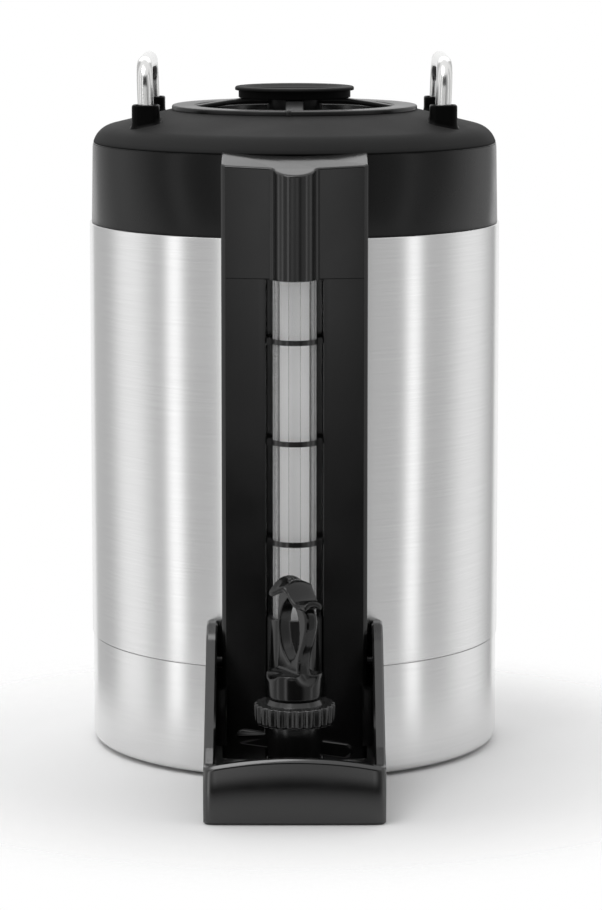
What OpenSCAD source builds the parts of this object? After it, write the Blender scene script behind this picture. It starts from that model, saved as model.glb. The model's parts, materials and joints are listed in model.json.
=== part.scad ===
// Insulated coffee server with a gravity tap.
// The origin is on the axis of the vessel, in the plane it stands on. The tap faces -Y.

/* [Vessel] */
// Outer diameter of the steel jacket
body_d = 210; // [190:1:230]
// Sheet thickness of the jacket
jacket_wall = 0.9; // [0.7:0.1:1.2]
// Sheet thickness of the liner
liner_wall = 1; // [0.8:0.1:1.2]
// Width of the vacuum space between jacket and liner
vacuum_gap = 8; // [7:0.5:9]
// Height of the seam between skirt and jacket
seam_z = 56.8; // [52:0.2:62]
// Height of the ledge on which the shoulder cap sits
ledge_z = 269.5; // [245:0.5:295]
// Inner diameter of the neck
neck_d = 106; // [96:0.5:116]

/* [Skirt] */
// Step from the jacket in to the skirt
skirt_step = 0.6; // [0.4:0.1:0.8]
// Sheet thickness of the skirt
skirt_wall = 1.2; // [1:0.1:1.4]
// Radius of the lower edge of the skirt
skirt_round = 8; // [6:0.5:9]
// Width of the base plate's edge outside the rubber pad
pad_margin = 8; // [6:0.5:12]

/* [Shoulder cap] */
// Step from the jacket in to the lower edge of the cap
cap_step = 1; // [0.8:0.1:1.2]
// Inward lean of the cap's wall
cap_lean = 0.7; // [0.5:0.1:0.9]
// Height of the cap's wall, up to where the shoulder starts
cap_wall_h = 37.7; // [34:0.1:42]
// Height of the flat round the neck above the start of the shoulder
cap_crown_h = 19.4; // [18:0.1:22]
// Radius of the shoulder
shoulder_r = 12.1; // [11:0.1:13]
// Thickness of the cap
cap_wall = 2.6; // [2.2:0.1:3]

/* [Lid] */
// Distance of the rim's inner edge from the wall of the neck
rim_inset = 2.1; // [1.9:0.1:2.4]
// Width of the lid's rim
rim_w = 11.8; // [10:0.2:13]
// Thickness of the rim
rim_h = 2.4; // [2:0.1:3]
// Width of a spoke
spoke_w = 9; // [7:0.5:11]
// Diameter of the knob
knob_d = 60.8; // [54:0.2:68]
// Height of the top of the knob above the rim's seat
knob_rise = 11.8; // [11:0.1:13]

/* [Carry loops] */
// Diameter of the wire
rod_d = 8; // [7:0.5:9]
// Distance of each loop from the jacket
loop_inset = 30.5; // [28:0.5:32]
// Distance between the two legs of a loop
loop_span = 80; // [72:1:88]
// Height of the loops above the collars
loop_rise = 24; // [22:1:34]
// Outward lean of the loops
loop_lean = 2; // [0:0.5:4]
// Bending radius of the wire, at its centre line
loop_bend = 12; // [10:1:16]
// Wall of the collar round each leg
boss_wall = 2.85; // [2.5:0.05:3.2]
// Height of the collars above the rim's seat
boss_rise = 4.4; // [4:0.1:5]

/* [Tower] */
// Width of the tower
tower_w = 71; // [64:0.5:78]
// Distance of the front corners of the tower from the jacket
corner_reach = 10; // [9:0.1:11]
// Distance of the gauge tube from the jacket
gauge_reach = 13; // [12.5:0.1:14]
// Thickness of the tower's walls
tower_wall = 3; // [2.5:0.1:3.2]
// Height of the lower edge of the tower
tower_foot_z = 14; // [12:0.5:16]
// Height of the rear edge of the tower's sloping top above the ledge
tower_rise = 39.8; // [36:0.1:42]
// Slope of the top
top_slope = 16.7; // [14:0.1:19]

/* [Gauge] */
// Outer diameter of the clear shield
shield_d = 21.2; // [19:0.1:23]
// Outer diameter of the inner glass
glass_d = 6; // [5.4:0.1:6.6]
// Width of the slot on each side of the shield
slot_w = 3; // [2.6:0.1:3.4]
// Height of the lower end of the window
window_low_z = 86.3; // [78:0.1:94]
// Distance of the upper end of the window below the ledge
window_drop = 18.5; // [14:0.5:24]

/* [Tap] */
// Distance of the tap from the jacket
tap_reach = 51; // [49:0.5:54]
// Height of the centre of the shank
shank_z = 27; // [26:0.2:30]
// Outer diameter of the shank
shank_d = 20; // [18:0.2:22]
// Bore of the spout
spout_bore_d = 12; // [10.6:0.2:13.4]
// Outer diameter of the knurled bonnet
bonnet_d = 39.6; // [36:0.1:43]
// Number of flutes on the bonnet
flutes = 24; // [18:1:30]
// Diameter of the foot of the handle
handle_foot_d = 27.4; // [25:0.1:30]
// Thickness of the handle's loop
handle_t = 6.7; // [6:0.1:7.4]
// Angle by which the handle is swivelled at rest
handle_turn = 30; // [0:1:45]

/* [Guard] */
// Gap between the tower and the guard's arms
arm_gap = 2.4; // [2:0.1:3]
// Thickness of the guard's arms
arm_t = 5.3; // [4.8:0.1:5.8]
// Distance of the front plate's face from the jacket
guard_reach = 85; // [82:1:92]
// Height of the arms at the body
arm_top_z = 80; // [74:1:88]
// Height of the front plate at its sides
plate_side_z = 27.3; // [25:0.1:30]
// Rise of the front plate's top edge towards the middle
plate_rise = 4.5; // [4:0.1:5]

/* [Hidden] */
$fn = 64;

steel = [0.76, 0.76, 0.75];
black = [0.13, 0.13, 0.13];
rubber = [0.2, 0.2, 0.2];
clear = [0.85, 0.9, 0.92, 0.35];

// Clearances and the run-through of cuts
fit_gap = 0.3;
weld_gap = 0.1;
pin_gap = 0.06;
cut = 1;

// Vessel
body_r = body_d / 2;
jacket_in_r = body_r - jacket_wall;
jacket_floor_rise = 7.7;
jacket_floor_z = seam_z + jacket_floor_rise;
jacket_floor_t = 1.5;
collar_in = 5;
collar_r = body_r - collar_in;
collar_h = 15.5;
collar_top_z = ledge_z + collar_h;
dome_knee_in = 6;
dome_knee_up = 11;
dome_crown_in = 20;
dome_crown_up = 18;
dome_wall = 1.2;
liner_r = body_r - jacket_wall - vacuum_gap;
liner_in_r = liner_r - liner_wall;
liner_floor_rise = 6;
liner_floor_z = jacket_floor_z + liner_floor_rise;
liner_round = 20;
liner_round_z = liner_floor_z + liner_round;
liner_drop = 2;
liner_dome_z = collar_top_z - liner_drop;
neck_r = neck_d / 2;
neck_out_r = neck_r + liner_wall + jacket_wall;
neck_flat_rise = 36.5;
neck_flat_z = ledge_z + neck_flat_rise;
neck_flat_w = 7;
neck_flat_r = neck_out_r + neck_flat_w;
neck_join_drop = 4.5;
neck_join_z = neck_flat_z - neck_join_drop;
outlet_r = 9;
outlet_wall = 1.5;
post_in = 35;
post_pitch_r = body_r - post_in;
post_r = 5.5;
post_split = 7;
post_split_z = seam_z - post_split;

// Skirt and base
skirt_r = body_r - skirt_step;
skirt_in_r = skirt_r - skirt_wall;
spigot_r = jacket_in_r - weld_gap;
spigot_up = 5.7;
spigot_down = 4;
spigot_ramp = 2;
spigot_top_z = seam_z + spigot_up;
skirt_low_z = 1.5;
base_plate_t = 3;
base_plate_r = skirt_r - skirt_round - fit_gap;
base_rib_h = 8;
base_rib_t = 2.5;
base_rib_in = 4;
base_top_z = skirt_low_z + base_plate_t;
pad_t = 3;
pad_sink = 1.5;
pad_r = base_plate_r - pad_margin;
pad_groove_w = 2;
pad_groove_t = 0.8;
pad_groove_in = 28;
pad_groove_pitch = 10;
screw_r = 2.4;
screw_head_r = 4.2;
screw_head_h = 3;
screw_key_r = 2.2;
screw_key_t = 1.6;
screw_grip = 8;

// Shoulder cap
cap_turn_z = ledge_z + cap_wall_h;
dome_z = cap_turn_z + cap_crown_h;
cap_low_r = body_r - cap_step;
cap_high_r = cap_low_r - cap_lean;
turn_centre_r = cap_high_r - shoulder_r;
cone_angle = 76;
crease_angle = 12;
crease_t = 0.5;
mouth_r = neck_out_r + fit_gap;
neck_lap = 4.6;
neck_top_z = dome_z - neck_lap;
gasket_h = 2.5;
cap_collar_t = 4.5;
cap_collar_r = mouth_r + cap_collar_t;

// Lid
rim_hole_r = neck_r - rim_inset;
rim_r = rim_hole_r + rim_w;
rim_top_z = dome_z + rim_h;
rim_edge = 0.8;
hub_r = 14;
hub_rise = 6.4;
hub_h = 11;
hub_top_z = dome_z + hub_rise;
hub_low_z = hub_top_z - hub_h;
spoke_t = 2.5;
spoke_lap = 2;
basin_r = rim_hole_r - fit_gap;
basin_wall = 2;
basin_lip = 1.2;
basin_flange_gap = 0.8;
basin_flange_r = mouth_r - basin_flange_gap;
basin_flange_h = 2.2;
basin_depth = 21.6;
basin_floor_z = dome_z - basin_depth;
basin_drop = 5;
drain_r = 8;
drain_wall = 2;
plug_h = 8;
basin_low_z = basin_floor_z - basin_drop;
plug_low_z = basin_low_z - plug_h;
basin_ramp = 4;
lid_seal_depth = 14.6;
lid_seal_z = dome_z - lid_seal_depth;
lid_seal_h = 4;
seal_bevel = 0.6;
knob_r = knob_d / 2;
knob_top_z = dome_z + knob_rise;
knob_edge_h = 1.9;
knob_edge_bevel = 0.8;
knob_skirt_in = 1.8;
knob_skirt_t = 1.5;
knob_skirt_r = knob_r - knob_skirt_in;
knob_skirt_h = 3.8;
knob_plate_t = 1.6;
knob_dish_in = 8.4;
knob_dish_r = knob_r - knob_dish_in;
knob_dish_t = 1;
knob_ridge_w = 5;
knob_screw_r = 2.5;
knob_screw_head_r = 4.5;
knob_screw_head_h = 2.5;
knob_screw_grip = 3.5;
knob_screw_gap = 0.5;
knob_key_t = 1.2;

// Carry loops
rod_r = rod_d / 2;
loop_x = body_r - loop_inset;
loop_y = loop_span / 2;
boss_top_z = dome_z + boss_rise;
rail_z = boss_top_z + loop_rise - rod_r;
nut_drop = 5.5;
nut_z = neck_flat_z + 0.5;
nut_h = nut_drop;
nut_r = rod_r + 3.2;
leg_low_z = nut_z - 1;
boss_half = rod_r + boss_wall;
boss_round = 3;
boss_rim_h = 0.8;
boss_rim_t = 1.4;
boss_sink = 13;
boss_inner_r = rod_r + 4;

// Tower
tower_x = tower_w / 2;
corner_q = body_r + corner_reach;
gauge_q = body_r + gauge_reach;
tower_top_z = ledge_z + tower_rise;
tower_root = 45;
tower_back_q = body_r - tower_root;
tower_bevel = 1.8;
shield_r = shield_d / 2;
bump_in = 0.6;
bump_r = shield_r - bump_in;
bump_fillet = 3;
fillet_x = sqrt(pow(bump_r + bump_fillet, 2) - pow(bump_fillet, 2));
window_x = shield_r + slot_w;
channel_t = 8;
window_top_z = ledge_z - window_drop;
clip_gap = 0.4;
channel_floor_q = gauge_q - shield_r - clip_gap;
channel_wall = 3;
tower_screw_x = 22;
tower_screw_low_z = 40;
tower_screw_rise = 26.5;
tower_screw_high_z = ledge_z + tower_screw_rise;
tower_screw_r = 2;
tower_screw_bite = 0.1;
tower_screw_head_r = 3.6;
tower_screw_head_h = 2.6;
tower_boss_r = 5;
tower_boss_in = 15;
tower_screw_stop = 0.5;

// Gauge
shield_wall = 1.3;
glass_r = glass_d / 2;
glass_wall = 1;
seat_depth = 4;
seal_h = 5;
seal_wall = 4.5;
seal_r = glass_r + seal_wall;
backing_in = 3.35;
backing_w = shield_d - 2 * backing_in;
backing_t = 1.2;
backing_gap = 0.8;
clip_h = 2.5;
clip_t = 0.9;
clip_first = 37.1;
clip_pitch = 49.15;
clip_count = 3;
clip_lug = 5;
clip_lug_lap = 0.4;
clip_open_x = 8;
clip_zs = [for (i = [0:clip_count - 1]) window_low_z + clip_first + i * clip_pitch];
clip_lug_in = shield_r + weld_gap + clip_lug_lap;
gauge_cap_h = 8;
gauge_vent_r = 0.8;
socket_r = window_x - fit_gap;
socket_bore_r = 4;
seal_low_z = window_low_z - seat_depth - seal_h;
seal_high_z = window_top_z + seat_depth;

// Tap
tap_q = body_r + tap_reach;
shank_r = shank_d / 2;
shank_wall = 4;
shank_bore_r = shank_r - shank_wall;
shank_stop = 9;
shank_out_q = tap_q - shank_stop;
washer_w = 4;
washer_r = shank_r + washer_w;
washer_t = 2.4;
washer_q = sqrt(pow(skirt_in_r, 2) - pow(washer_r, 2)) - weld_gap - washer_t;
shank_nut_w = 5;
shank_nut_t = 6.5;
shank_nut_q = washer_q - shank_nut_t;
shank_end = 1;
shank_in_q = shank_nut_q - shank_end;
wing_q = gauge_q + socket_r + fit_gap;
wing_depth = 6.5;
wing_hub_w = 3;
wing_hub_r = shank_r + wing_hub_w;
wing_len = 18.5;
wing_reach = shank_r + wing_len;
wing_h = 7;
wing_t = 4;
wing_tilt = 8;
collar_q = wing_q + wing_depth + fit_gap;
tap_collar_w = 2.2;
tap_collar_end = 3;
tap_collar_r = shank_r + tap_collar_w;
spout_wall = 2;
spout_r = spout_bore_d / 2 + spout_wall;
spout_drop = 21;
spout_low_z = shank_z - spout_drop;
spout_h = 9;
spout_top_z = spout_low_z + spout_h;
barrel_drop = 8;
barrel_low_z = shank_z - barrel_drop;
barrel_low_r = 11.4;
barrel_rise = 15.2;
barrel_top_z = shank_z + barrel_rise;
barrel_top_r = 15;
thread_r = 14.4;
thread_h = 7.3;
thread_top_z = barrel_top_z + thread_h;
cavity_r = 9.5;
seat_drop = 7;
seat_z = shank_z - seat_drop;
bonnet_r = bonnet_d / 2;
bonnet_low_z = barrel_top_z + weld_gap;
bonnet_h = 9.8;
bonnet_ring_top_z = barrel_top_z + bonnet_h;
bonnet_crown_h = 2.5;
bonnet_top_z = bonnet_ring_top_z + bonnet_crown_h;
bonnet_dome_r = 14;
bonnet_bevel = 1.6;
bonnet_edge = 0.8;
bonnet_seat_gap = 0.5;
bonnet_seat_z = thread_top_z + bonnet_seat_gap;
flute_r = 1.5;
flute_out = 0.7;
stem_r = 3;
stem_gap = 0.08;
stem_flange_r = 7;
stem_flange_rise = 6;
stem_flange_z = shank_z + stem_flange_rise;
stem_flange_t = 1.5;
bulb_w = 1;
bulb_h = 3;
cup_r = 8.4;
cup_low_z = seat_z + weld_gap;
cup_h = 9;
cup_straight_h = 5.4;
cup_top_w = 2;
foot_gap = 0.2;
handle_foot_z = bonnet_top_z + foot_gap;
handle_foot_r = handle_foot_d / 2;
handle_foot_h = 12.5;
handle_foot_top_z = handle_foot_z + handle_foot_h;
pin_rise = 5.8;
pin_z = handle_foot_z + pin_rise;
pin_r = 1.6;
pin_in = 2.7;
pin_half = handle_foot_r - pin_in;
stem_over = 3.5;
stem_top_z = pin_z + stem_over;
stem_slot_gap = 0.4;
stem_slot_x = stem_r + stem_slot_gap;
stem_slot_y = 7.5;
coil_r = 5.4;
wire_r = 0.6;
coil_steps = 14;
coil_sides = 6;
spring_turns = 5;
side_scoop_r = 12;
side_scoop_up = 5;
loop_hole_up = 5.1;
loop_hole_h = 28.7;
loop_hole_low_z = handle_foot_top_z + loop_hole_up;
loop_hole_top_z = loop_hole_low_z + loop_hole_h;
loop_hole_half = 9.4;
loop_outer_half = 15;
loop_outer_low_z = handle_foot_z - 0.7;
loop_outer_h = 60;
loop_back = 2.2;
loop_neck_up = 6;
loop_keep_h = 46;
saddle_r = 11;
saddle_t = 2;
saddle_len = 25;
saddle_tilt = 30;
saddle_rise = 12;
saddle_apex_z = loop_hole_top_z + saddle_rise;
saddle_y = 7;
saddle_side = 3.4;
saddle_in = 0.55;
saddle_taper_y = 8;

// Guard
guard_x = tower_x + arm_gap + arm_t;
guard_w = 2 * guard_x;
guard_q = body_r + guard_reach;
plate_mid_z = plate_side_z + plate_rise;
plate_t = 6;
plate_bevel = 1.2;
plate_lip = 5;
arm_low_z = 3;
arm_root = 6;
arm_flat = 14;
arm_knee_out = 10;
arm_knee_down = 6;
arm_toe = 16;
arm_toe_rise = 6;
arm_heel = 7;
arm_screw_reach = 2;
arm_screw_q = body_r + arm_screw_reach;
arm_screw_low_z = 30;
arm_screw_high_z = 62;
arm_screw_zs = [arm_screw_low_z, arm_screw_high_z];
arm_screw_r = 2;
arm_screw_len = 15;
arm_screw_head_r = 3.6;
arm_screw_head_h = 1.8;
arm_screw_sink = 2;
arm_screw_start = guard_x - arm_screw_len - arm_screw_sink;
arm_spacer_r = 6;
lug_in = 5;
lug_depth = 9;
lug_low_z = 23;
lug_high_z = 51;

// Points of an arc in a plane, from angle a0 to a1
function arc(cx, cy, r, a0, a1, n = 8) =
    [for (i = [0:n]) let (a = a0 + (a1 - a0) * i / n) [cx + r * cos(a), cy + r * sin(a)]];

// A ring between two radii and two heights
module ring(r_out, r_in, z0, z1) {
    translate([0, 0, z0]) difference() {
        cylinder(r = r_out, h = z1 - z0);
        translate([0, 0, -cut]) cylinder(r = r_in, h = z1 - z0 + 2 * cut);
    }
}

// A rod along -Y from q0 to q1 in front of the axis
module front_rod(r, q0, q1) {
    translate([0, -q0, 0]) rotate([90, 0, 0]) cylinder(r = r, h = q1 - q0);
}

// The outside of the vessel and cap, grown by a gap, to cut what leans against it
module body_envelope(gap) {
    translate([0, 0, -cut]) cylinder(r = skirt_r + gap, h = seam_z + cut);
    translate([0, 0, seam_z]) cylinder(r = body_r + gap, h = ledge_z - seam_z);
    translate([0, 0, ledge_z]) cylinder(r = cap_low_r + gap, h = rail_z - ledge_z);
}

// Copies at the four posts of the base
module at_posts() {
    for (a = [45:90:315]) rotate([0, 0, a]) translate([post_pitch_r, 0, 0]) children();
}

// Copies along the four legs of the carry loops, which lean outwards from the top of the collars
module at_legs() {
    for (side = [0, 1], y = [-loop_y, loop_y]) mirror([side, 0, 0])
        translate([loop_x, y, boss_top_z]) rotate([0, loop_lean, 0]) translate([0, 0, -boss_top_z]) children();
}

// Copies at the four collars, upright
module at_collars() {
    for (x = [-loop_x, loop_x], y = [-loop_y, loop_y]) translate([x, y, 0]) children();
}

// Copies at the four screws that hold the tower, each along -Y
module at_tower_screws() {
    for (x = [-tower_screw_x, tower_screw_x], z = [tower_screw_low_z, tower_screw_high_z])
        translate([x, 0, z]) children();
}

// Copies at the guard's screws, each along +X from the middle of the body
module at_guard_screws() {
    for (side = [0, 1], z = arm_screw_zs)
        mirror([side, 0, 0]) translate([0, -arm_screw_q, z]) rotate([0, 90, 0]) children();
}

module outer_shell() {
    knee = [collar_r - dome_knee_in, collar_top_z + dome_knee_up];
    crown = [collar_r - dome_crown_in, collar_top_z + dome_crown_up];
    hole_r = outlet_r + weld_gap;
    outside = [[body_r, seam_z], [body_r, ledge_z], [collar_r, ledge_z], [collar_r, collar_top_z],
               knee, crown, [neck_flat_r, neck_flat_z], [neck_out_r, neck_flat_z],
               [neck_out_r, neck_top_z], [neck_out_r - jacket_wall, neck_top_z]];
    inside = [[neck_out_r - jacket_wall, neck_flat_z - jacket_wall], [neck_flat_r, neck_flat_z - dome_wall],
              crown - dome_wall * [0.4, 1], knee - dome_wall * [0.7, 0.7],
              [collar_r - dome_wall, collar_top_z], [collar_r - dome_wall, ledge_z - dome_wall],
              [jacket_in_r, ledge_z - dome_wall], [jacket_in_r, jacket_floor_z + jacket_floor_t],
              [hole_r, jacket_floor_z + jacket_floor_t], [hole_r, jacket_floor_z],
              [jacket_in_r, jacket_floor_z], [jacket_in_r, seam_z]];
    color(steel) {
        rotate_extrude() polygon(concat(outside, inside));
        at_posts() ring(post_r, screw_r, post_split_z, jacket_floor_z);
    }
}

// Wall of the liner, from its round corner up to the dome
module inner_vessel() {
    color(steel) ring(liner_r, liner_in_r, liner_round_z, liner_dome_z);
}

// Floor of the liner, with the round corner and the hole of the outlet
module liner_floor() {
    centre_r = liner_r - liner_round;
    hole_r = outlet_r + weld_gap;
    profile = concat([[hole_r, liner_floor_z]], arc(centre_r, liner_round_z, liner_round, -90, 0),
                     arc(centre_r, liner_round_z, liner_round - liner_wall, 0, -90),
                     [[hole_r, liner_floor_z + liner_wall]]);
    color(steel) rotate_extrude() polygon(profile);
}

// Dome and neck of the liner
module liner_shoulder() {
    knee = [liner_r - dome_knee_in, liner_dome_z + dome_knee_up - liner_wall];
    crown = [liner_r - dome_crown_in, liner_dome_z + dome_crown_up - liner_drop];
    outside = [[liner_r, liner_dome_z], knee, crown, [neck_r + liner_wall, neck_join_z],
               [neck_r + liner_wall, neck_top_z]];
    inside = [[neck_r, neck_top_z], [neck_r, neck_join_z - liner_wall], crown - liner_wall * [0.4, 1],
              knee - liner_wall * [0.8, 0.7], [liner_in_r, liner_dome_z]];
    color(steel) rotate_extrude() polygon(concat(outside, inside));
}

module outlet_tube() {
    in_r = outlet_r - outlet_wall;
    top_z = liner_floor_z + liner_wall;
    color(steel) difference() {
        union() {
            translate([0, 0, shank_z]) cylinder(r = outlet_r, h = top_z - shank_z);
            translate([0, 0, shank_z]) sphere(r = outlet_r);
            translate([0, 0, shank_z]) front_rod(outlet_r, 0, shank_in_q);
        }
        translate([0, 0, shank_z]) cylinder(r = in_r, h = top_z - shank_z + cut);
        translate([0, 0, shank_z]) sphere(r = in_r);
        translate([0, 0, shank_z]) front_rod(in_r, 0, shank_in_q + cut);
    }
}

module base_shell() {
    centre_r = skirt_r - skirt_round;
    centre_z = skirt_low_z + skirt_round;
    lap_in_r = spigot_r - skirt_wall;
    profile = concat(arc(centre_r, centre_z, skirt_round, -90, 0),
                     [[skirt_r, seam_z], [spigot_r, seam_z], [spigot_r, spigot_top_z],
                      [lap_in_r, spigot_top_z], [lap_in_r, seam_z - spigot_down],
                      [skirt_in_r, seam_z - spigot_down - spigot_ramp]],
                     arc(centre_r, centre_z, skirt_round - skirt_wall, 0, -90));
    color(steel) difference() {
        rotate_extrude() polygon(profile);
        translate([0, 0, shank_z]) front_rod(shank_r + fit_gap, body_r / 2, body_r + cut);
        for (x = [-tower_screw_x, tower_screw_x])
            translate([x, 0, tower_screw_low_z]) front_rod(tower_screw_r + fit_gap, body_r / 2, body_r + cut);
    }
}

module base_plate() {
    rib_r = base_plate_r - base_rib_in;
    color(black) difference() {
        union() {
            translate([0, 0, skirt_low_z]) cylinder(r = base_plate_r, h = base_plate_t);
            at_posts() translate([0, 0, skirt_low_z]) cylinder(r = post_r, h = post_split_z - skirt_low_z);
            ring(rib_r, rib_r - base_rib_t, skirt_low_z, base_top_z + base_rib_h);
        }
        translate([0, 0, skirt_low_z - cut]) cylinder(r = pad_r + fit_gap, h = pad_sink + cut);
        at_posts() cylinder(r = screw_r + fit_gap, h = post_split_z + cut);
        at_posts() cylinder(r = screw_head_r + fit_gap, h = skirt_low_z + pad_sink + screw_head_h + fit_gap);
    }
}

module foot_pad() {
    color(rubber) difference() {
        cylinder(r = pad_r, h = pad_t);
        for (i = [0, 1]) let (r = pad_r - pad_groove_in - i * pad_groove_pitch)
            ring(r + pad_groove_w, r, -cut, pad_groove_t);
    }
}

module base_screws() {
    head_z = skirt_low_z + pad_sink;
    color(steel) at_posts() translate([0, 0, head_z]) {
        difference() {
            cylinder(r = screw_head_r, h = screw_head_h);
            translate([0, 0, -cut]) cylinder(r = screw_key_r, h = cut + screw_key_t, $fn = 6);
        }
        cylinder(r = screw_r - pin_gap, h = post_split_z + screw_grip - head_z);
    }
}

// Outline of the cap from its lower edge over the shoulder to the flat round the neck
cap_outline = concat([[cap_low_r, ledge_z]],
                     arc(turn_centre_r, cap_turn_z, shoulder_r, 0, cone_angle),
                     [[rim_r, dome_z]]);

module shoulder_cap() {
    profile = concat(cap_outline,
                     [[mouth_r, dome_z], [mouth_r, neck_flat_z + gasket_h],
                      [cap_collar_r, neck_flat_z + gasket_h], [cap_collar_r, dome_z - cap_wall]],
                     arc(turn_centre_r, cap_turn_z, shoulder_r - cap_wall, cone_angle, 0),
                     [[cap_low_r - cap_wall, ledge_z]]);
    crease_x = turn_centre_r + shoulder_r * cos(crease_angle);
    crease_z = cap_turn_z + shoulder_r * sin(crease_angle);
    color(black) difference() {
        union() {
            rotate_extrude() polygon(profile);
            intersection() {
                at_legs() translate([0, 0, nut_z + nut_h]) cylinder(r = boss_inner_r, h = dome_z - nut_z);
                rotate_extrude() polygon(concat([[0, ledge_z]], cap_outline, [[0, dome_z]]));
            }
        }
        rotate_extrude() translate([crease_x, crease_z]) circle(r = crease_t);
        at_legs() translate([0, 0, nut_z]) cylinder(r = rod_r + pin_gap, h = rail_z - nut_z);
        for (x = [-tower_screw_x, tower_screw_x])
            translate([x, 0, tower_screw_high_z]) front_rod(tower_screw_r + fit_gap, body_r / 2, body_r + cut);
    }
}

// A square with rounded corners, in plan
module collar_plan(half) {
    inset = half - boss_round;
    for (x = [-inset, inset], y = [-inset, inset]) translate([x, y]) circle(r = boss_round);
    square([2 * half, 2 * inset], center = true);
    square([2 * inset, 2 * half], center = true);
}

module handle_collars() {
    color(black) difference() {
        at_collars() translate([0, 0, boss_top_z - boss_sink]) difference() {
            linear_extrude(boss_sink) collar_plan(boss_half);
            translate([0, 0, boss_sink - boss_rim_h])
                linear_extrude(boss_rim_h + cut) collar_plan(boss_half - boss_rim_t);
        }
        translate([0, 0, weld_gap]) rotate_extrude() polygon(concat([[0, ledge_z]], cap_outline, [[0, dome_z]]));
        at_legs() translate([0, 0, nut_z]) cylinder(r = rod_r + pin_gap, h = rail_z - nut_z);
    }
}

module cap_gasket() {
    color(rubber) ring(cap_collar_r, mouth_r, neck_flat_z, neck_flat_z + gasket_h);
}

// The right wire loop, leaning outwards about the top of the collars
module wire_loop() {
    bend_y = loop_y - loop_bend;
    top_h = rail_z - boss_top_z;
    bend_h = top_h - loop_bend;
    low_h = leg_low_z - boss_top_z;
    color(steel) translate([loop_x, 0, boss_top_z]) rotate([0, loop_lean, 0]) {
        for (side = [-1, 1]) {
            translate([0, side * loop_y, low_h]) cylinder(r = rod_r, h = bend_h - low_h);
            translate([0, side * bend_y, bend_h]) rotate([0, 0, side * 90]) rotate([90, 0, 0])
                rotate_extrude(angle = 90) translate([loop_bend, 0]) circle(r = rod_r);
        }
        translate([0, bend_y, top_h]) rotate([90, 0, 0]) cylinder(r = rod_r, h = 2 * bend_y);
    }
}

module handle_left() { mirror([1, 0, 0]) wire_loop(); }

module handle_right() { wire_loop(); }

module handle_nuts() {
    color(steel) at_legs() translate([0, 0, nut_z]) difference() {
        cylinder(r = nut_r, h = nut_h, $fn = 6);
        translate([0, 0, -cut]) cylinder(r = rod_r + pin_gap, h = nut_h + 2 * cut);
    }
}

module lid_ring() {
    run = rim_hole_r - hub_r;
    slope = atan((hub_top_z - rim_top_z) / run);
    color(black) {
        rotate_extrude() polygon([[rim_hole_r, dome_z], [rim_r, dome_z], [rim_r, rim_top_z - rim_edge],
                                  [rim_r - rim_edge, rim_top_z], [rim_hole_r + rim_edge, rim_top_z],
                                  [rim_hole_r, rim_top_z - rim_edge]]);
        difference() {
            union() {
                translate([0, 0, hub_low_z]) cylinder(r = hub_r, h = hub_top_z - hub_low_z);
                intersection() {
                    for (a = [0:90:270]) rotate([0, 0, a])
                        translate([hub_r - spoke_lap, -spoke_w / 2, hub_top_z]) rotate([0, slope, 0])
                            translate([0, 0, -spoke_t]) cube([run + 4 * spoke_lap, spoke_w, spoke_t]);
                    translate([0, 0, dome_z]) cylinder(r = rim_hole_r + spoke_lap, h = hub_rise + cut);
                }
            }
            translate([0, 0, hub_low_z - cut]) cylinder(r = knob_screw_r + pin_gap, h = hub_h + 2 * cut);
        }
    }
}

module lid_basin() {
    in_r = basin_r - basin_wall;
    low_in_r = in_r - basin_wall;
    lip_r = basin_r + basin_lip;
    seal_top_z = lid_seal_z + lid_seal_h + weld_gap;
    profile = [[basin_r, seal_top_z + basin_lip], [lip_r, seal_top_z + basin_lip], [lip_r, seal_top_z],
               [basin_r, seal_top_z], [basin_r, lid_seal_z - weld_gap], [lip_r, lid_seal_z - weld_gap],
               [in_r, lid_seal_z - basin_ramp], [in_r, basin_floor_z],
               [drain_r + drain_wall, basin_low_z], [drain_r + drain_wall, plug_low_z], [drain_r, plug_low_z],
               [drain_r, basin_low_z + basin_wall], [low_in_r, basin_floor_z + basin_wall],
               [low_in_r, lid_seal_z - basin_ramp + basin_lip], [in_r, lid_seal_z], [in_r, dome_z],
               [basin_flange_r, dome_z], [basin_flange_r, dome_z - basin_flange_h],
               [basin_r, dome_z - basin_flange_h]];
    color(black) rotate_extrude() polygon(profile);
}

module lid_gasket() {
    out_r = neck_r - fit_gap;
    in_r = basin_r + pin_gap;
    color(rubber) rotate_extrude() polygon(
        [[in_r, lid_seal_z], [out_r - seal_bevel, lid_seal_z], [out_r, lid_seal_z + lid_seal_h / 2],
         [out_r - seal_bevel, lid_seal_z + lid_seal_h], [in_r, lid_seal_z + lid_seal_h]]);
}

module lid_knob() {
    edge_z = knob_top_z - knob_edge_h;
    plate_z = edge_z - knob_plate_t;
    skirt_in_r = knob_skirt_r - knob_skirt_t;
    color(black) difference() {
        rotate_extrude() polygon([[0, hub_top_z], [hub_r, hub_top_z], [hub_r, plate_z], [skirt_in_r, plate_z],
                                  [skirt_in_r, edge_z - knob_skirt_h], [knob_skirt_r, edge_z - knob_skirt_h],
                                  [knob_skirt_r, edge_z], [knob_r, edge_z], [knob_r, knob_top_z - knob_edge_bevel],
                                  [knob_r - knob_edge_bevel, knob_top_z], [0, knob_top_z]]);
        difference() {
            translate([0, 0, knob_top_z - knob_dish_t]) cylinder(r = knob_dish_r, h = knob_dish_t + cut);
            translate([-knob_dish_r, -knob_ridge_w / 2, knob_top_z - 2 * knob_dish_t])
                cube([2 * knob_dish_r, knob_ridge_w, 2 * knob_dish_t]);
        }
        translate([0, 0, hub_top_z - cut])
            cylinder(r = knob_screw_r + pin_gap, h = knob_screw_grip + knob_screw_gap + cut);
    }
}

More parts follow.
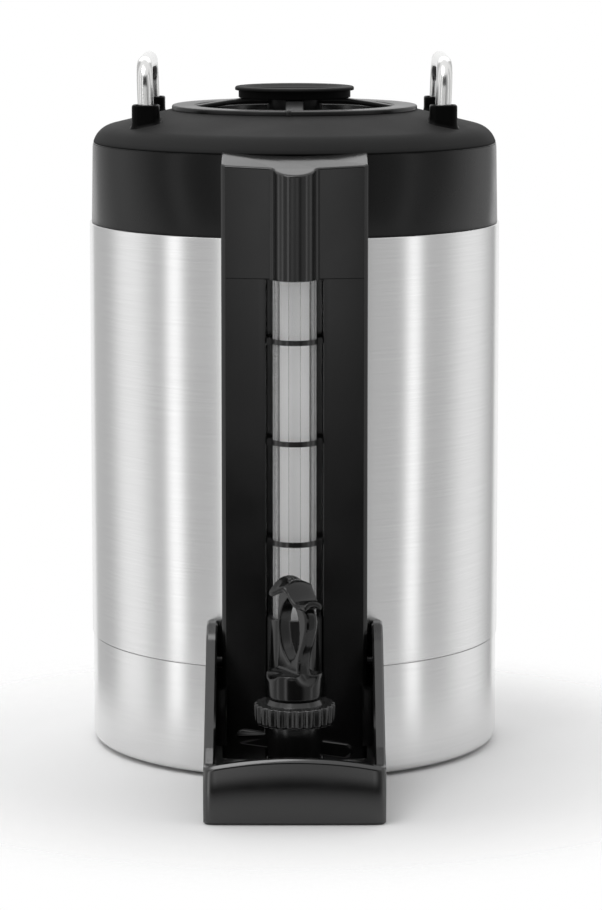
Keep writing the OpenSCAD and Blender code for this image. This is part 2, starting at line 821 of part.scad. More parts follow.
module knob_screw() {
    color(steel) translate([0, 0, hub_low_z]) {
        cylinder(r = knob_screw_r, h = hub_h + knob_screw_grip);
        translate([0, 0, -knob_screw_head_h]) difference() {
            cylinder(r = knob_screw_head_r, h = knob_screw_head_h);
            translate([0, 0, -cut]) cylinder(r = screw_key_r, h = cut + knob_key_t, $fn = 6);
        }
    }
}

// Plan of the tower; inset moves its walls inwards
module tower_plan(inset) {
    x = tower_x - inset;
    corner = corner_q - inset;
    flat_q = gauge_q - inset;
    polygon([[-x, -tower_back_q], [-x, tower_bevel - corner], [tower_bevel - x, -corner],
             [-fillet_x, -flat_q], [fillet_x, -flat_q], [x - tower_bevel, -corner],
             [x, tower_bevel - corner], [x, -tower_back_q]]);
}

// Plan of the bump over the gauge, with a concave fillet on each side
module bump_plan() {
    translate([0, -gauge_q]) {
        circle(r = bump_r);
        difference() {
            translate([-fillet_x, -bump_fillet * bump_r / (bump_r + bump_fillet)])
                square([2 * fillet_x, bump_fillet * bump_r / (bump_r + bump_fillet)]);
            for (x = [-fillet_x, fillet_x]) translate([x, -bump_fillet]) circle(r = bump_fillet);
        }
    }
}

// Everything above the sloping top of the tower, lowered by a distance
module above_tower(lower) {
    translate([0, -cap_low_r, tower_top_z - lower]) rotate([top_slope, 0, 0])
        translate([-tower_w, -tower_w, 0]) cube([2 * tower_w, 2 * tower_w, tower_w]);
}

module tower() {
    tall = tower_top_z - tower_foot_z + tower_x;
    head_h = tall - window_top_z + tower_foot_z;
    window_h = window_top_z - tower_foot_z;
    tube_top_z = window_top_z + seat_depth;
    color(black) difference() {
        union() {
            difference() {
                translate([0, 0, tower_foot_z]) linear_extrude(tall) tower_plan(0);
                difference() {
                    translate([0, 0, tower_foot_z + tower_wall]) linear_extrude(tall) tower_plan(tower_wall);
                    above_tower(tower_wall);
                }
            }
            translate([0, 0, window_top_z]) linear_extrude(head_h) bump_plan();
            translate([-window_x, -gauge_q, window_top_z])
                cube([2 * window_x, gauge_q - channel_floor_q + channel_t, head_h]);
            for (side = [0, 1]) mirror([side, 0, 0])
                translate([window_x, cut - gauge_q, tower_foot_z])
                    cube([channel_wall, gauge_q - channel_floor_q + channel_t, window_h + cut]);
            translate([-window_x - cut, -channel_floor_q, tower_foot_z])
                cube([2 * window_x + 2 * cut, channel_t, window_h + cut]);
            at_tower_screws() front_rod(tower_boss_r, body_r - tower_boss_in, corner_q);
        }
        translate([-window_x, -gauge_q - shield_d, tower_foot_z - cut])
            cube([2 * window_x, shield_d + gauge_q - channel_floor_q, window_h + cut]);
        translate([0, -gauge_q, window_top_z - cut]) cylinder(r = shield_r - shield_wall, h = cut + seat_depth);
        translate([0, -gauge_q, tube_top_z - cut])
            cylinder(r = seal_r + fit_gap, h = 2 * cut + seal_h + gauge_cap_h);
        at_tower_screws() front_rod(tower_screw_r - tower_screw_bite, tower_back_q, corner_q);
        translate([0, 0, shank_z]) front_rod(shank_r + fit_gap, tower_back_q, gauge_q);
        for (side = [0, 1], z = arm_screw_zs) mirror([side, 0, 0])
            translate([arm_screw_start - cut, -arm_screw_q, z]) rotate([0, 90, 0])
                cylinder(r = arm_screw_r - tower_screw_bite, h = tower_x);
        above_tower(0);
        body_envelope(fit_gap);
    }
}

module tower_screws() {
    wall_z = [tower_screw_low_z, tower_screw_high_z];
    wall_r = [skirt_in_r, cap_high_r - cap_wall];
    head_x = tower_screw_x + tower_screw_head_r;
    color(steel) for (x = [-tower_screw_x, tower_screw_x], i = [0, 1])
        let (q = sqrt(pow(wall_r[i], 2) - pow(head_x, 2)) - weld_gap)
            translate([x, 0, wall_z[i]]) {
                front_rod(tower_screw_head_r, q - tower_screw_head_h, q);
                front_rod(tower_screw_r - tower_screw_bite, q, corner_q - tower_screw_stop);
            }
}

module gauge_backing() {
    z0 = window_low_z - seat_depth + weld_gap;
    color("white") translate([-backing_w / 2, -gauge_q + glass_r + backing_gap, z0])
        cube([backing_w, backing_t, window_top_z - z0]);
}

module sight_shield() {
    color(clear) translate([0, -gauge_q, 0])
        ring(shield_r, shield_r - shield_wall, window_low_z - seat_depth, window_top_z);
}

module gauge_glass() {
    color(clear) translate([0, -gauge_q, 0]) ring(glass_r, glass_r - glass_wall, seal_low_z, seal_high_z + seal_h);
}

module gauge_seal(z0) {
    color(rubber) translate([0, -gauge_q, 0]) ring(seal_r, glass_r + weld_gap, z0, z0 + seal_h);
}

module upper_seal() { gauge_seal(seal_high_z); }

module lower_seal() { gauge_seal(seal_low_z); }

module gauge_cap() {
    z0 = seal_high_z + seal_h;
    color(black) translate([0, -gauge_q, 0]) ring(seal_r, gauge_vent_r, z0, z0 + gauge_cap_h);
}

module tube_clips() {
    in_r = shield_r + weld_gap;
    color(rubber) for (z = clip_zs) translate([0, -gauge_q, z - clip_h / 2]) {
        difference() {
            ring(in_r + clip_t, in_r, 0, clip_h);
            translate([-clip_open_x, 0, -cut]) cube([2 * clip_open_x, 2 * shield_d, clip_h + 2 * cut]);
        }
        for (side = [0, 1]) mirror([side, 0, 0]) translate([clip_lug_in, -clip_lug / 2, 0])
            cube([window_x - weld_gap - clip_lug_in, clip_lug, clip_h]);
    }
}

module gauge_socket() {
    socket_h = window_low_z - tower_foot_z;
    back_q = channel_floor_q + weld_gap;
    color(black) difference() {
        union() {
            translate([0, -gauge_q, tower_foot_z]) cylinder(r = socket_r, h = socket_h);
            translate([-socket_r, -gauge_q, tower_foot_z]) cube([2 * socket_r, gauge_q - back_q, socket_h]);
        }
        translate([0, -gauge_q, window_low_z - seat_depth]) cylinder(r = shield_r + weld_gap, h = seat_depth + cut);
        translate([0, -gauge_q, seal_low_z]) cylinder(r = seal_r + weld_gap, h = seal_h + cut);
        translate([0, -gauge_q, shank_z]) cylinder(r = socket_bore_r, h = seal_low_z - shank_z + cut);
        translate([0, 0, shank_z]) front_rod(shank_r + weld_gap, body_r - tower_boss_in, wing_q);
        translate([-window_x, -back_q, 0]) cube([2 * window_x, socket_r, window_low_z + cut]);
    }
}

module tap_shank() {
    color(steel) translate([0, 0, shank_z]) difference() {
        front_rod(shank_r, shank_in_q, shank_out_q);
        front_rod(shank_bore_r, shank_in_q - cut, shank_out_q + cut);
        translate([0, -gauge_q, 0]) cylinder(r = socket_bore_r - glass_wall, h = shank_r + cut);
    }
}

module shank_washer() {
    color(rubber) translate([0, 0, shank_z]) difference() {
        front_rod(washer_r, washer_q, washer_q + washer_t);
        front_rod(shank_r + weld_gap, washer_q - cut, washer_q + washer_t + cut);
    }
}

module shank_nut() {
    color(steel) translate([0, 0, shank_z]) difference() {
        translate([0, -shank_nut_q, 0]) rotate([90, 0, 0])
            cylinder(r = shank_r + shank_nut_w, h = shank_nut_t, $fn = 6);
        front_rod(shank_r + weld_gap, shank_nut_q - cut, shank_nut_q + shank_nut_t + cut);
    }
}

module wing_nut() {
    mid_q = wing_q + wing_depth / 2;
    color(black) translate([0, 0, shank_z]) difference() {
        union() {
            front_rod(wing_hub_r, wing_q, wing_q + wing_depth);
            rotate([0, wing_tilt, 0]) for (side = [0, 1]) mirror([side, 0, 0]) {
                translate([0, -mid_q - wing_t / 2, -wing_h / 2]) cube([wing_reach - wing_h / 2, wing_t, wing_h]);
                translate([wing_reach - wing_h / 2, 0, 0])
                    front_rod(wing_h / 2, mid_q - wing_t / 2, mid_q + wing_t / 2);
            }
        }
        front_rod(shank_r + weld_gap, wing_q - cut, wing_q + wing_depth + cut);
    }
}

module tap_body() {
    tall = thread_top_z - spout_low_z + 2 * cut;
    outside = [[spout_r, spout_low_z], [spout_r, spout_top_z], [barrel_low_r, barrel_low_z],
               [barrel_top_r, barrel_top_z], [thread_r, barrel_top_z], [thread_r, thread_top_z],
               [0, thread_top_z], [0, spout_low_z]];
    color(black) difference() {
        union() {
            translate([0, -tap_q, 0]) rotate_extrude() polygon(outside);
            translate([0, 0, shank_z]) front_rod(tap_collar_r, collar_q, tap_q - tap_collar_end);
        }
        translate([0, -tap_q, spout_low_z - cut]) cylinder(r = spout_bore_d / 2, h = tall);
        translate([0, -tap_q, seat_z]) cylinder(r = cavity_r, h = tall);
        translate([0, 0, shank_z]) front_rod(shank_r + weld_gap, collar_q - cut, shank_out_q);
        translate([0, 0, shank_z]) front_rod(shank_bore_r, collar_q, tap_q);
    }
}

module seat_cup() {
    color([0.75, 0.75, 0.72]) translate([0, -tap_q, cup_low_z]) difference() {
        union() {
            cylinder(r = cup_r, h = cup_straight_h);
            translate([0, 0, cup_straight_h])
                cylinder(r1 = cup_r, r2 = stem_r + cup_top_w, h = cup_h - cup_straight_h);
        }
        translate([0, 0, bulb_h]) cylinder(r = stem_r + bulb_w + pin_gap, h = bulb_h + pin_gap);
        translate([0, 0, bulb_h]) cylinder(r = stem_r + pin_gap, h = cup_h);
    }
}

module valve_stem() {
    bulb_z = cup_low_z + bulb_h + pin_gap;
    color(steel) translate([0, -tap_q, 0]) rotate([0, 0, handle_turn]) difference() {
        union() {
            translate([0, 0, bulb_z]) cylinder(r = stem_r + bulb_w, h = bulb_h - pin_gap);
            translate([0, 0, bulb_z]) cylinder(r = stem_r, h = stem_top_z - bulb_z);
            translate([0, 0, stem_flange_z]) cylinder(r = stem_flange_r, h = stem_flange_t);
        }
        translate([-stem_flange_r, 0, pin_z]) rotate([0, 90, 0])
            cylinder(r = pin_r + pin_gap, h = 2 * stem_flange_r);
    }
}

// Points round the wire at one step of the coil, low being the height of its lower end
function coil_ring(step, low, rise) =
    let (turn = 360 * step / coil_steps)
    [for (i = [0:coil_sides - 1]) let (
        a = 360 * i / coil_sides,
        r = coil_r + wire_r * cos(a))
        [r * cos(turn), r * sin(turn), low + rise * step / coil_steps + wire_r * sin(a)]];

module stem_spring() {
    low = stem_flange_z + stem_flange_t + wire_r + weld_gap;
    high = bonnet_seat_z - wire_r - weld_gap;
    steps = spring_turns * coil_steps;
    points = [for (step = [0:steps]) each coil_ring(step, low, (high - low) / spring_turns)];
    sides = [for (step = [0:steps - 1], i = [0:coil_sides - 1])
        let (a = step * coil_sides + i, b = step * coil_sides + (i + 1) % coil_sides)
        each [[a, a + coil_sides, b], [b, a + coil_sides, b + coil_sides]]];
    end = steps * coil_sides;
    first = [for (i = [1:coil_sides - 2]) [0, i, i + 1]];
    last = [for (i = [1:coil_sides - 2]) [end, end + i + 1, end + i]];
    color(steel) translate([0, -tap_q, 0]) polyhedron(points, concat(sides, first, last));
}

module bonnet() {
    hole_r = stem_r + stem_gap;
    skirt_z = bonnet_low_z + weld_gap;
    profile = [[hole_r, bonnet_seat_z], [thread_r + weld_gap, bonnet_seat_z],
               [thread_r + weld_gap, skirt_z], [bonnet_r - bonnet_bevel, skirt_z],
               [bonnet_r, skirt_z + bonnet_bevel], [bonnet_r, bonnet_ring_top_z - bonnet_edge],
               [bonnet_r - bonnet_edge, bonnet_ring_top_z], [bonnet_dome_r, bonnet_ring_top_z],
               [bonnet_dome_r - bonnet_bevel, bonnet_top_z], [hole_r, bonnet_top_z]];
    color(black) translate([0, -tap_q, 0]) difference() {
        rotate_extrude() polygon(profile);
        for (i = [0:flutes - 1]) rotate([0, 0, 360 / flutes * i])
            translate([bonnet_r + flute_out, 0, bonnet_low_z - cut]) cylinder(r = flute_r, h = bonnet_h + 2 * cut);
    }
}

// Moves the handle's own frame, in which it faces -Y, to the tap
module at_handle() {
    translate([0, -tap_q, 0]) rotate([0, 0, handle_turn]) children();
}

module handle_pin() {
    color(steel) at_handle() translate([-pin_half, 0, pin_z]) rotate([0, 90, 0])
        cylinder(r = pin_r, h = 2 * pin_half);
}

// Pointed oval in the plane of the handle, between two heights
module loop_outline(half_w, z0, z1) {
    half_h = (z1 - z0) / 2;
    radius = (half_w * half_w + half_h * half_h) / (2 * half_w);
    translate([0, (z0 + z1) / 2]) intersection() {
        translate([half_w - radius, 0]) circle(r = radius);
        translate([radius - half_w, 0]) circle(r = radius);
    }
}

module tap_handle() {
    slot_h = stem_top_z + 2 * cut - handle_foot_z;
    color(black) at_handle() difference() {
        union() {
            difference() {
                translate([0, 0, handle_foot_z]) cylinder(r = handle_foot_r, h = handle_foot_h);
                for (side = [-1, 1])
                    translate([side * (side_scoop_r + handle_t / 2), handle_foot_d, handle_foot_top_z + side_scoop_up])
                        rotate([90, 0, 0]) cylinder(r = side_scoop_r, h = 2 * handle_foot_d);
            }
            translate([handle_t / 2, 0, 0]) rotate([90, 0, -90]) linear_extrude(handle_t) difference() {
                intersection() {
                    translate([-loop_back, 0])
                        loop_outline(loop_outer_half, loop_outer_low_z, loop_outer_low_z + loop_outer_h);
                    translate([-2 * loop_outer_half, handle_foot_z + loop_neck_up])
                        square([4 * loop_outer_half, loop_keep_h]);
                }
                loop_outline(loop_hole_half, loop_hole_low_z, loop_hole_top_z);
            }
            translate([0, saddle_y, saddle_apex_z - saddle_r]) rotate([saddle_tilt, 0, 0]) saddle();
        }
        translate([-stem_slot_x, -stem_slot_y, handle_foot_z - cut])
            cube([2 * stem_slot_x, 2 * stem_slot_y, slot_h]);
        translate([-handle_foot_d, 0, pin_z]) rotate([0, 90, 0]) cylinder(r = pin_r + pin_gap, h = 2 * handle_foot_d);
    }
}

// Curved thumb rest, an arch over -Y that narrows towards its front end
module saddle() {
    end_y = -saddle_len - cut;
    difference() {
        rotate([90, 0, 0]) cylinder(r = saddle_r, h = saddle_len);
        translate([0, cut, 0]) rotate([90, 0, 0]) cylinder(r = saddle_r - saddle_t, h = saddle_len + 2 * cut);
        translate([-2 * saddle_r, end_y, saddle_side - 2 * saddle_r])
            cube([4 * saddle_r, saddle_len + 2 * cut, 2 * saddle_r]);
        for (side = [0, 1]) mirror([side, 0, 0]) translate([0, 0, -cut]) linear_extrude(2 * saddle_r)
            polygon([[saddle_r, -saddle_taper_y], [saddle_r * saddle_in, end_y], [2 * saddle_r, end_y]]);
    }
}

module guard() {
    inner_x = guard_x - arm_t;
    back_q = sqrt(pow(body_r + fit_gap, 2) - pow(guard_x, 2)) - arm_root;
    join_q = guard_q - plate_t;
    side = [[back_q, arm_low_z], [back_q, arm_top_z], [back_q + arm_flat, arm_top_z],
            [back_q + arm_flat + arm_knee_out, arm_top_z - arm_knee_down],
            [join_q - arm_toe, plate_side_z + arm_toe_rise], [join_q - plate_lip, plate_side_z],
            [join_q, plate_side_z], [join_q, 0], [join_q - plate_lip, 0],
            [join_q - plate_lip - arm_heel, arm_low_z]];
    color(black) difference() {
        union() {
            for (m = [0, 1]) mirror([m, 0, 0]) {
                translate([inner_x, 0, 0]) rotate([90, 0, 90]) mirror([1, 0]) linear_extrude(arm_t) polygon(side);
                for (z = arm_screw_zs) translate([tower_x + weld_gap, -arm_screw_q, z]) rotate([0, 90, 0])
                    cylinder(r = arm_spacer_r, h = inner_x - tower_x - weld_gap + cut);
                translate([inner_x - lug_in, -corner_q - lug_depth, lug_low_z])
                    cube([lug_in + cut, lug_depth - weld_gap, lug_high_z - lug_low_z]);
            }
            translate([0, -join_q, 0]) rotate([90, 0, 0]) linear_extrude(plate_t - plate_bevel) plate_outline(0);
            translate([0, -join_q, 0]) rotate([90, 0, 0]) linear_extrude(plate_t) plate_outline(plate_bevel);
        }
        at_guard_screws() cylinder(r = arm_screw_r + pin_gap, h = guard_w);
        at_guard_screws() translate([0, 0, guard_x - arm_screw_sink])
            cylinder(r = arm_screw_head_r + weld_gap, h = arm_screw_sink + cut);
        body_envelope(fit_gap);
    }
}

// Face of the front plate with its arched top; inset draws it in on all sides
module plate_outline(inset) {
    radius = (guard_x * guard_x + plate_rise * plate_rise) / (2 * plate_rise);
    intersection() {
        translate([inset - guard_x, inset]) square([guard_w - 2 * inset, plate_mid_z]);
        translate([0, plate_mid_z - radius]) circle(r = radius - inset);
    }
}

module guard_screws() {
    head_x = guard_x - arm_screw_sink;
    color(steel) at_guard_screws() {
        translate([0, 0, arm_screw_start]) cylinder(r = arm_screw_r - tower_screw_bite, h = arm_screw_len);
        translate([0, 0, head_x]) difference() {
            cylinder(r = arm_screw_head_r, h = arm_screw_head_h);
            translate([0, 0, arm_screw_head_h / 2]) cylinder(r = arm_screw_head_r / 2, h = arm_screw_head_h, $fn = 6);
        }
    }
}

outer_shell();
inner_vessel();
liner_floor();
liner_shoulder();
outlet_tube();
base_shell();
base_plate();
foot_pad();
base_screws();
shoulder_cap();
cap_gasket();
handle_collars();
handle_left();
handle_right();
handle_nuts();
lid_ring();
lid_basin();
lid_gasket();
lid_knob();
knob_screw();
tower();
tower_screws();
gauge_backing();
sight_shield();
gauge_glass();
gauge_cap();
upper_seal();
lower_seal();
tube_clips();
gauge_socket();
tap_shank();
shank_washer();
shank_nut();
wing_nut();
tap_body();
seat_cup();
valve_stem();
stem_spring();
bonnet();
handle_pin();
tap_handle();
guard();
guard_screws();
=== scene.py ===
# %% [markdown]
# # An insulated coffee server
# A brushed steel vessel keeps coffee hot between two walls. A black cap, a lid with a knob and two
# wire carry loops close it. A tower in front carries the sight gauge, and a tap in a guard pours.
# The CAD frame gives every size and place. This script gives each piece its surface.

# %% Load the CAD frame
import json
import math
import bmesh
import bpy
from mathutils import Matrix, Vector


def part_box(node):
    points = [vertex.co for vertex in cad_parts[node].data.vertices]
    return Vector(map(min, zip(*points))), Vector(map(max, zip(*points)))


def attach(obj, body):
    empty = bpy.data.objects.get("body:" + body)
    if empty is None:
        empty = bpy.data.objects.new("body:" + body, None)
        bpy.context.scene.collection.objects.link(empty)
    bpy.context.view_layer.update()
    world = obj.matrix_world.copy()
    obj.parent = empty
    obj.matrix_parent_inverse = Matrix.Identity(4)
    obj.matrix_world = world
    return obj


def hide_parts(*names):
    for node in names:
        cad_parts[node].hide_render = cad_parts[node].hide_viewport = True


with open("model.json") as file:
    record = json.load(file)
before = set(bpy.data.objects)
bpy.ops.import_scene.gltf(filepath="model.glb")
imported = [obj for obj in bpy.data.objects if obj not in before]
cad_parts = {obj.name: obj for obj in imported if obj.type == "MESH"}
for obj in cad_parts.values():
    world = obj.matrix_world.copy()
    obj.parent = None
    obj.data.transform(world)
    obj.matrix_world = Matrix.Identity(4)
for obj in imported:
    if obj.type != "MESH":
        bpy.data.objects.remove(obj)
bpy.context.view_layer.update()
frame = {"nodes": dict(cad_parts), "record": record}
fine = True

# %% [markdown]
# ## Sizes
# The main sizes are read from the frame, in millimetres, so that the surfaces stay on the solids.
# The front of the server faces -Y, and q is a distance in front of the axis.

# %% Sizes from the frame
MM = 0.001


def low(node):
    """Lowest corner of a CAD node in millimetres."""
    return [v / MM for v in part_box(node)[0]]


def high(node):
    """Highest corner of a CAD node in millimetres."""
    return [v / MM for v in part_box(node)[1]]


body_r = high("outer_shell")[0]
ledge_z = low("shoulder_cap")[2]
skirt_r = high("base_shell")[0]
skirt_low_z = low("base_shell")[2]
seam_z = high("base_shell")[2] - 5.7
cap_r = high("shoulder_cap")[0]
dome_z = high("shoulder_cap")[2]
rim_r = high("lid_ring")[0]
knob_r = high("lid_knob")[0]
knob_top_z = high("lid_knob")[2]
loop_top_z = high("handle_right")[2]
collar_top_z = high("handle_collars")[2]
tower_x = high("tower")[0]
tower_foot_z = low("tower")[2]
gauge_q = -(low("gauge_glass")[1] + high("gauge_glass")[1]) / 2
shield_r = high("sight_shield")[0]
window_low_z = high("gauge_socket")[2]
window_top_z = high("sight_shield")[2]
tap_q = -(low("seat_cup")[1] + high("seat_cup")[1]) / 2
shank_z = (low("tap_shank")[2] + high("tap_shank")[2]) / 2
bonnet_low_z = low("bonnet")[2]
bonnet_top_z = high("bonnet")[2]
guard_x = high("guard")[0]
guard_q = -low("guard")[1]
print("body radius", round(body_r, 1), "tap", round(tap_q, 1), "gauge", round(gauge_q, 1))

# %% [markdown]
# ## Outlines
# Every shape here starts as an outline in millimetres. Corners are broken by small radii, because
# real edges catch the light. A bevel on the finished mesh could do that too, but here each corner
# gets its own radius.

# %% Arcs and rounded corners
def arc(cx, cy, r, a0, a1, steps):
    """Points of an arc from angle a0 to a1 in degrees."""
    turn = [math.radians(a0 + (a1 - a0) * i / steps) for i in range(steps + 1)]
    return [(cx + r * math.cos(a), cy + r * math.sin(a)) for a in turn]


def rounded(corners, steps=5):
    """Closed outline whose corners (x, y, radius) become arcs."""
    points = []
    for i, (x, y, r) in enumerate(corners):
        p = Vector((x, y))
        if r == 0:
            points.append((x, y))
            continue
        a = Vector(corners[i - 1][:2]) - p
        b = Vector(corners[(i + 1) % len(corners)][:2]) - p
        half = a.angle(b) / 2
        reach = min(r / math.tan(half), a.length * 0.49, b.length * 0.49)
        r = reach * math.tan(half)
        a.normalize()
        b.normalize()
        centre = p + (a + b).normalized() * (r / math.sin(half))
        start, end = p + a * reach - centre, p + b * reach - centre
        swing = start.angle_signed(end)
        first = math.atan2(start.y, start.x)
        for k in range(steps + 1):
            t = first - swing * k / steps
            points.append((centre.x + r * math.cos(t), centre.y + r * math.sin(t)))
    return points


print("a square with round corners has", len(rounded([(0, 0, 1), (4, 0, 1), (4, 4, 1), (0, 4, 1)])), "points")

# %% [markdown]
# ## From outlines to meshes
# Most pieces of a server like this are spun or turned, so a profile swept round an axis gives them.
# What isn't round is a stack of outlines, or a sheet with a face and a back. All of them end in one
# tool, which merges doubles, turns the faces outwards and sets where shading breaks.

# %% Mesh tools
def add_object(name, data):
    """A mesh, curve, lamp or camera as an object of the scene, at the origin."""
    obj = bpy.data.objects.new(name, data)
    bpy.context.scene.collection.objects.link(obj)
    return obj


def creased(obj, crease=35):
    """Smooth shading, except over edges that bend by more degrees than that."""
    obj.data.set_sharp_from_angle(angle=math.radians(crease))
    return obj


def finish_mesh(obj, crease=35):
    """Merged points, outward normals and smooth shading up to a crease."""
    bm = bmesh.new()
    bm.from_mesh(obj.data)
    bmesh.ops.remove_doubles(bm, verts=bm.verts, dist=2e-6)
    bmesh.ops.dissolve_degenerate(bm, edges=bm.edges, dist=1e-7)
    bmesh.ops.recalc_face_normals(bm, faces=bm.faces)
    bm.to_mesh(obj.data)
    bm.free()
    obj.data.polygons.foreach_set("use_smooth", [True] * len(obj.data.polygons))
    return creased(obj, crease)


def from_points(name, points, faces, crease=35):
    """An object from points in millimetres."""
    mesh = bpy.data.meshes.new(name)
    mesh.from_pydata([[c * MM for c in p] for p in points], [], faces)
    return finish_mesh(add_object(name, mesh), crease)


def unroll(obj, cx=0.0, cy=0.0):
    """UV map whose first direction runs round the axis, so that brushing can follow it."""
    layer = obj.data.uv_layers.new(name="round")
    points = obj.data.vertices
    for face in obj.data.polygons:
        turns = []
        for loop in face.loop_indices:
            co = points[obj.data.loops[loop].vertex_index].co
            turns.append(math.atan2(co.y - cy * MM, co.x - cx * MM) / math.tau)
        wraps = max(turns) - min(turns) > 0.5
        for loop, turn in zip(face.loop_indices, turns):
            co = points[obj.data.loops[loop].vertex_index].co
            reach = math.hypot(co.x - cx * MM, co.y - cy * MM)
            layer.data[loop].uv = (turn + (1 if wraps and turn < 0 else 0), co.z - reach)
    return obj


def turned(name, profile, cx=0.0, cy=0.0, segments=256, crease=35):
    """A closed profile of (radius, height) swept round an upright axis at cx, cy."""
    count = len(profile)
    points = []
    for s in range(segments):
        a = math.tau * s / segments
        points += [(cx + r * math.cos(a), cy + r * math.sin(a), z) for r, z in profile]
    faces = []
    for s in range(segments):
        here, there = s * count, (s + 1) % segments * count
        for i in range(count):
            j = (i + 1) % count
            faces.append((here + i, there + i, there + j, here + j))
    return unroll(from_points(name, points, faces, crease), cx, cy)


def stacked(name, rings, crease=35):
    """Closed rings of equal count, joined one above the other and closed at both ends."""
    count = len(rings[0])
    points = [p for ring in rings for p in ring]
    faces = [tuple(range(count))[::-1], tuple(range(len(points) - count, len(points)))]
    for k in range(len(rings) - 1):
        for i in range(count):
            j = (i + 1) % count
            faces.append((k * count + i, k * count + j, (k + 1) * count + j, (k + 1) * count + i))
    return from_points(name, points, faces, crease)


def sheet(name, rows, columns, point, crease=35):
    """A closed sheet: point(i, j, layer) gives its face in layer 0 and its back in layer 1."""
    points = [point(i, j, layer) for layer in (0, 1) for i in range(rows + 1) for j in range(columns + 1)]
    width, size = columns + 1, (rows + 1) * (columns + 1)
    faces = []
    for i in range(rows):
        for j in range(columns):
            a, b = i * width + j, size + i * width + j
            faces += [(a, a + 1, a + width + 1, a + width), (b, b + width, b + width + 1, b + 1)]
        for j in (0, columns):
            a, b = i * width + j, size + i * width + j
            faces.append((a, a + width, b + width, b))
    for i in (0, rows):
        for j in range(columns):
            a, b = i * width + j, size + i * width + j
            faces.append((a, b, b + 1, a + 1))
    return from_points(name, points, faces, crease)


print("mesh tools ready")

# %% [markdown]
# ## Plain pieces
# A modifier is handy while a piece is made, but each finished piece here is plain mesh at the
# origin. These tools turn modifiers into mesh, put several solids into one piece and cut holes.

# %% Modifiers into mesh
def plain(obj):
    """The object with its modifiers turned into plain mesh."""
    bpy.context.view_layer.update()
    shown = obj.evaluated_get(bpy.context.evaluated_depsgraph_get())
    mesh = bpy.data.meshes.new_from_object(shown)
    obj.modifiers.clear()
    old = obj.data
    if obj.type != "MESH":
        fresh = add_object(obj.name + "_mesh", mesh)
        bpy.data.objects.remove(obj)
        return fresh
    obj.data = mesh
    bpy.data.meshes.remove(old)
    return obj


def joined(name, parts):
    """Several plain objects as one."""
    bm = bmesh.new()
    for part in parts:
        at = len(bm.faces)
        bm.from_mesh(part.data)
        bm.faces.ensure_lookup_table()
        for face in bm.faces[at:]:
            face.smooth = True
    mesh = bpy.data.meshes.new(name)
    bm.to_mesh(mesh)
    bm.free()
    for part in parts:
        bpy.data.objects.remove(part)
    return add_object(name, mesh)


def carve(obj, tool):
    """Cuts one solid from another."""
    boolean = obj.modifiers.new("cut", "BOOLEAN")
    boolean.operation = "DIFFERENCE"
    boolean.solver = "EXACT"
    boolean.object = tool
    plain(obj)
    bpy.data.objects.remove(tool)
    return finish_mesh(obj, 40)


print("piece tools ready")

# %% [markdown]
# ## Finishes
# Every finish is built from noise in the object's own coordinates, so nothing slides when a piece
# moves. A finish has more than one scale: a slow change of tone, and the grain of its making.

# %% Finish tools
def fill(made, inputs):
    """Gives a node's inputs numbers, colours, or the sockets that feed them."""
    for key, value in inputs.items():
        if isinstance(value, bpy.types.NodeSocket):
            made.id_data.links.new(value, made.inputs[key])
        elif value is not None:
            made.inputs[key].default_value = value
    return made


def add_node(tree, kind, inputs=None, **settings):
    """A new node of a tree, with its settings and inputs."""
    made = tree.nodes.new(kind)
    for key, value in settings.items():
        setattr(made, key, value)
    return fill(made, inputs or {})


class Finish:
    """A material with a Principled shader and short ways to feed it."""

    def __init__(self, name):
        self.material = bpy.data.materials.new(name)
        self.material.use_nodes = True
        self.tree = self.material.node_tree
        self.shader = self.tree.nodes["Principled BSDF"]
        self.place = self.add("ShaderNodeTexCoord").outputs["Object"]

    def add(self, kind, inputs=None, **settings):
        return add_node(self.tree, kind, inputs, **settings)

    def set(self, **values):
        """Inputs of the shader, with an underscore for each space in their names."""
        fill(self.shader, {key.replace("_", " "): value for key, value in values.items()})

    def stretched(self, x, y, z):
        """Object coordinates scaled by x, y and z."""
        return self.add("ShaderNodeMapping", {"Scale": (x, y, z), "Vector": self.place}).outputs["Vector"]

    def grain(self, scale, detail=3.0, vector=None, roughness=0.55):
        """Noise at a scale per metre."""
        return self.add("ShaderNodeTexNoise", {
            "Scale": scale, "Detail": detail, "Roughness": roughness, "Vector": vector or self.place,
        }).outputs["Fac"]

    def pits(self, scale):
        """Distance to the nearest of many scattered points, for a moulded grain."""
        return self.add("ShaderNodeTexVoronoi", {"Scale": scale, "Vector": self.place}).outputs["Distance"]

    def spread(self, factor, lowest, highest, start=0.3, end=0.7):
        """A factor turned into a value between two limits."""
        return self.add("ShaderNodeMapRange", {
            "Value": factor, "From Min": start, "From Max": end, "To Min": lowest, "To Max": highest,
        }).outputs["Result"]

    def blended(self, factor, below, above):
        """Two colours, or the sockets that give them, mixed by a factor."""
        return self.add("ShaderNodeMix", {"Factor": factor, "A": below, "B": above},
                        data_type="RGBA").outputs["Result"]

    def tones(self, factor, dark, light):
        """A factor turned into a colour between two tones."""
        return self.blended(self.spread(factor, 0, 1), (*dark, 1), (*light, 1))

    def relief(self, *layers):
        """Bumps of (height, strength, depth in millimetres), one on the other."""
        below = None
        for height, strength, depth in layers:
            below = self.add("ShaderNodeBump", {
                "Height": height, "Strength": strength, "Distance": depth * MM, "Normal": below,
            }).outputs["Normal"]
        self.set(Normal=below)

    def upward(self, start, end):
        """0 to 1 as a surface turns to face up."""
        facing = self.add("ShaderNodeNewGeometry").outputs["Normal"]
        return self.spread(self.add("ShaderNodeSeparateXYZ", {0: facing}).outputs["Z"], 0, 1, start, end)


print("finish tools ready")

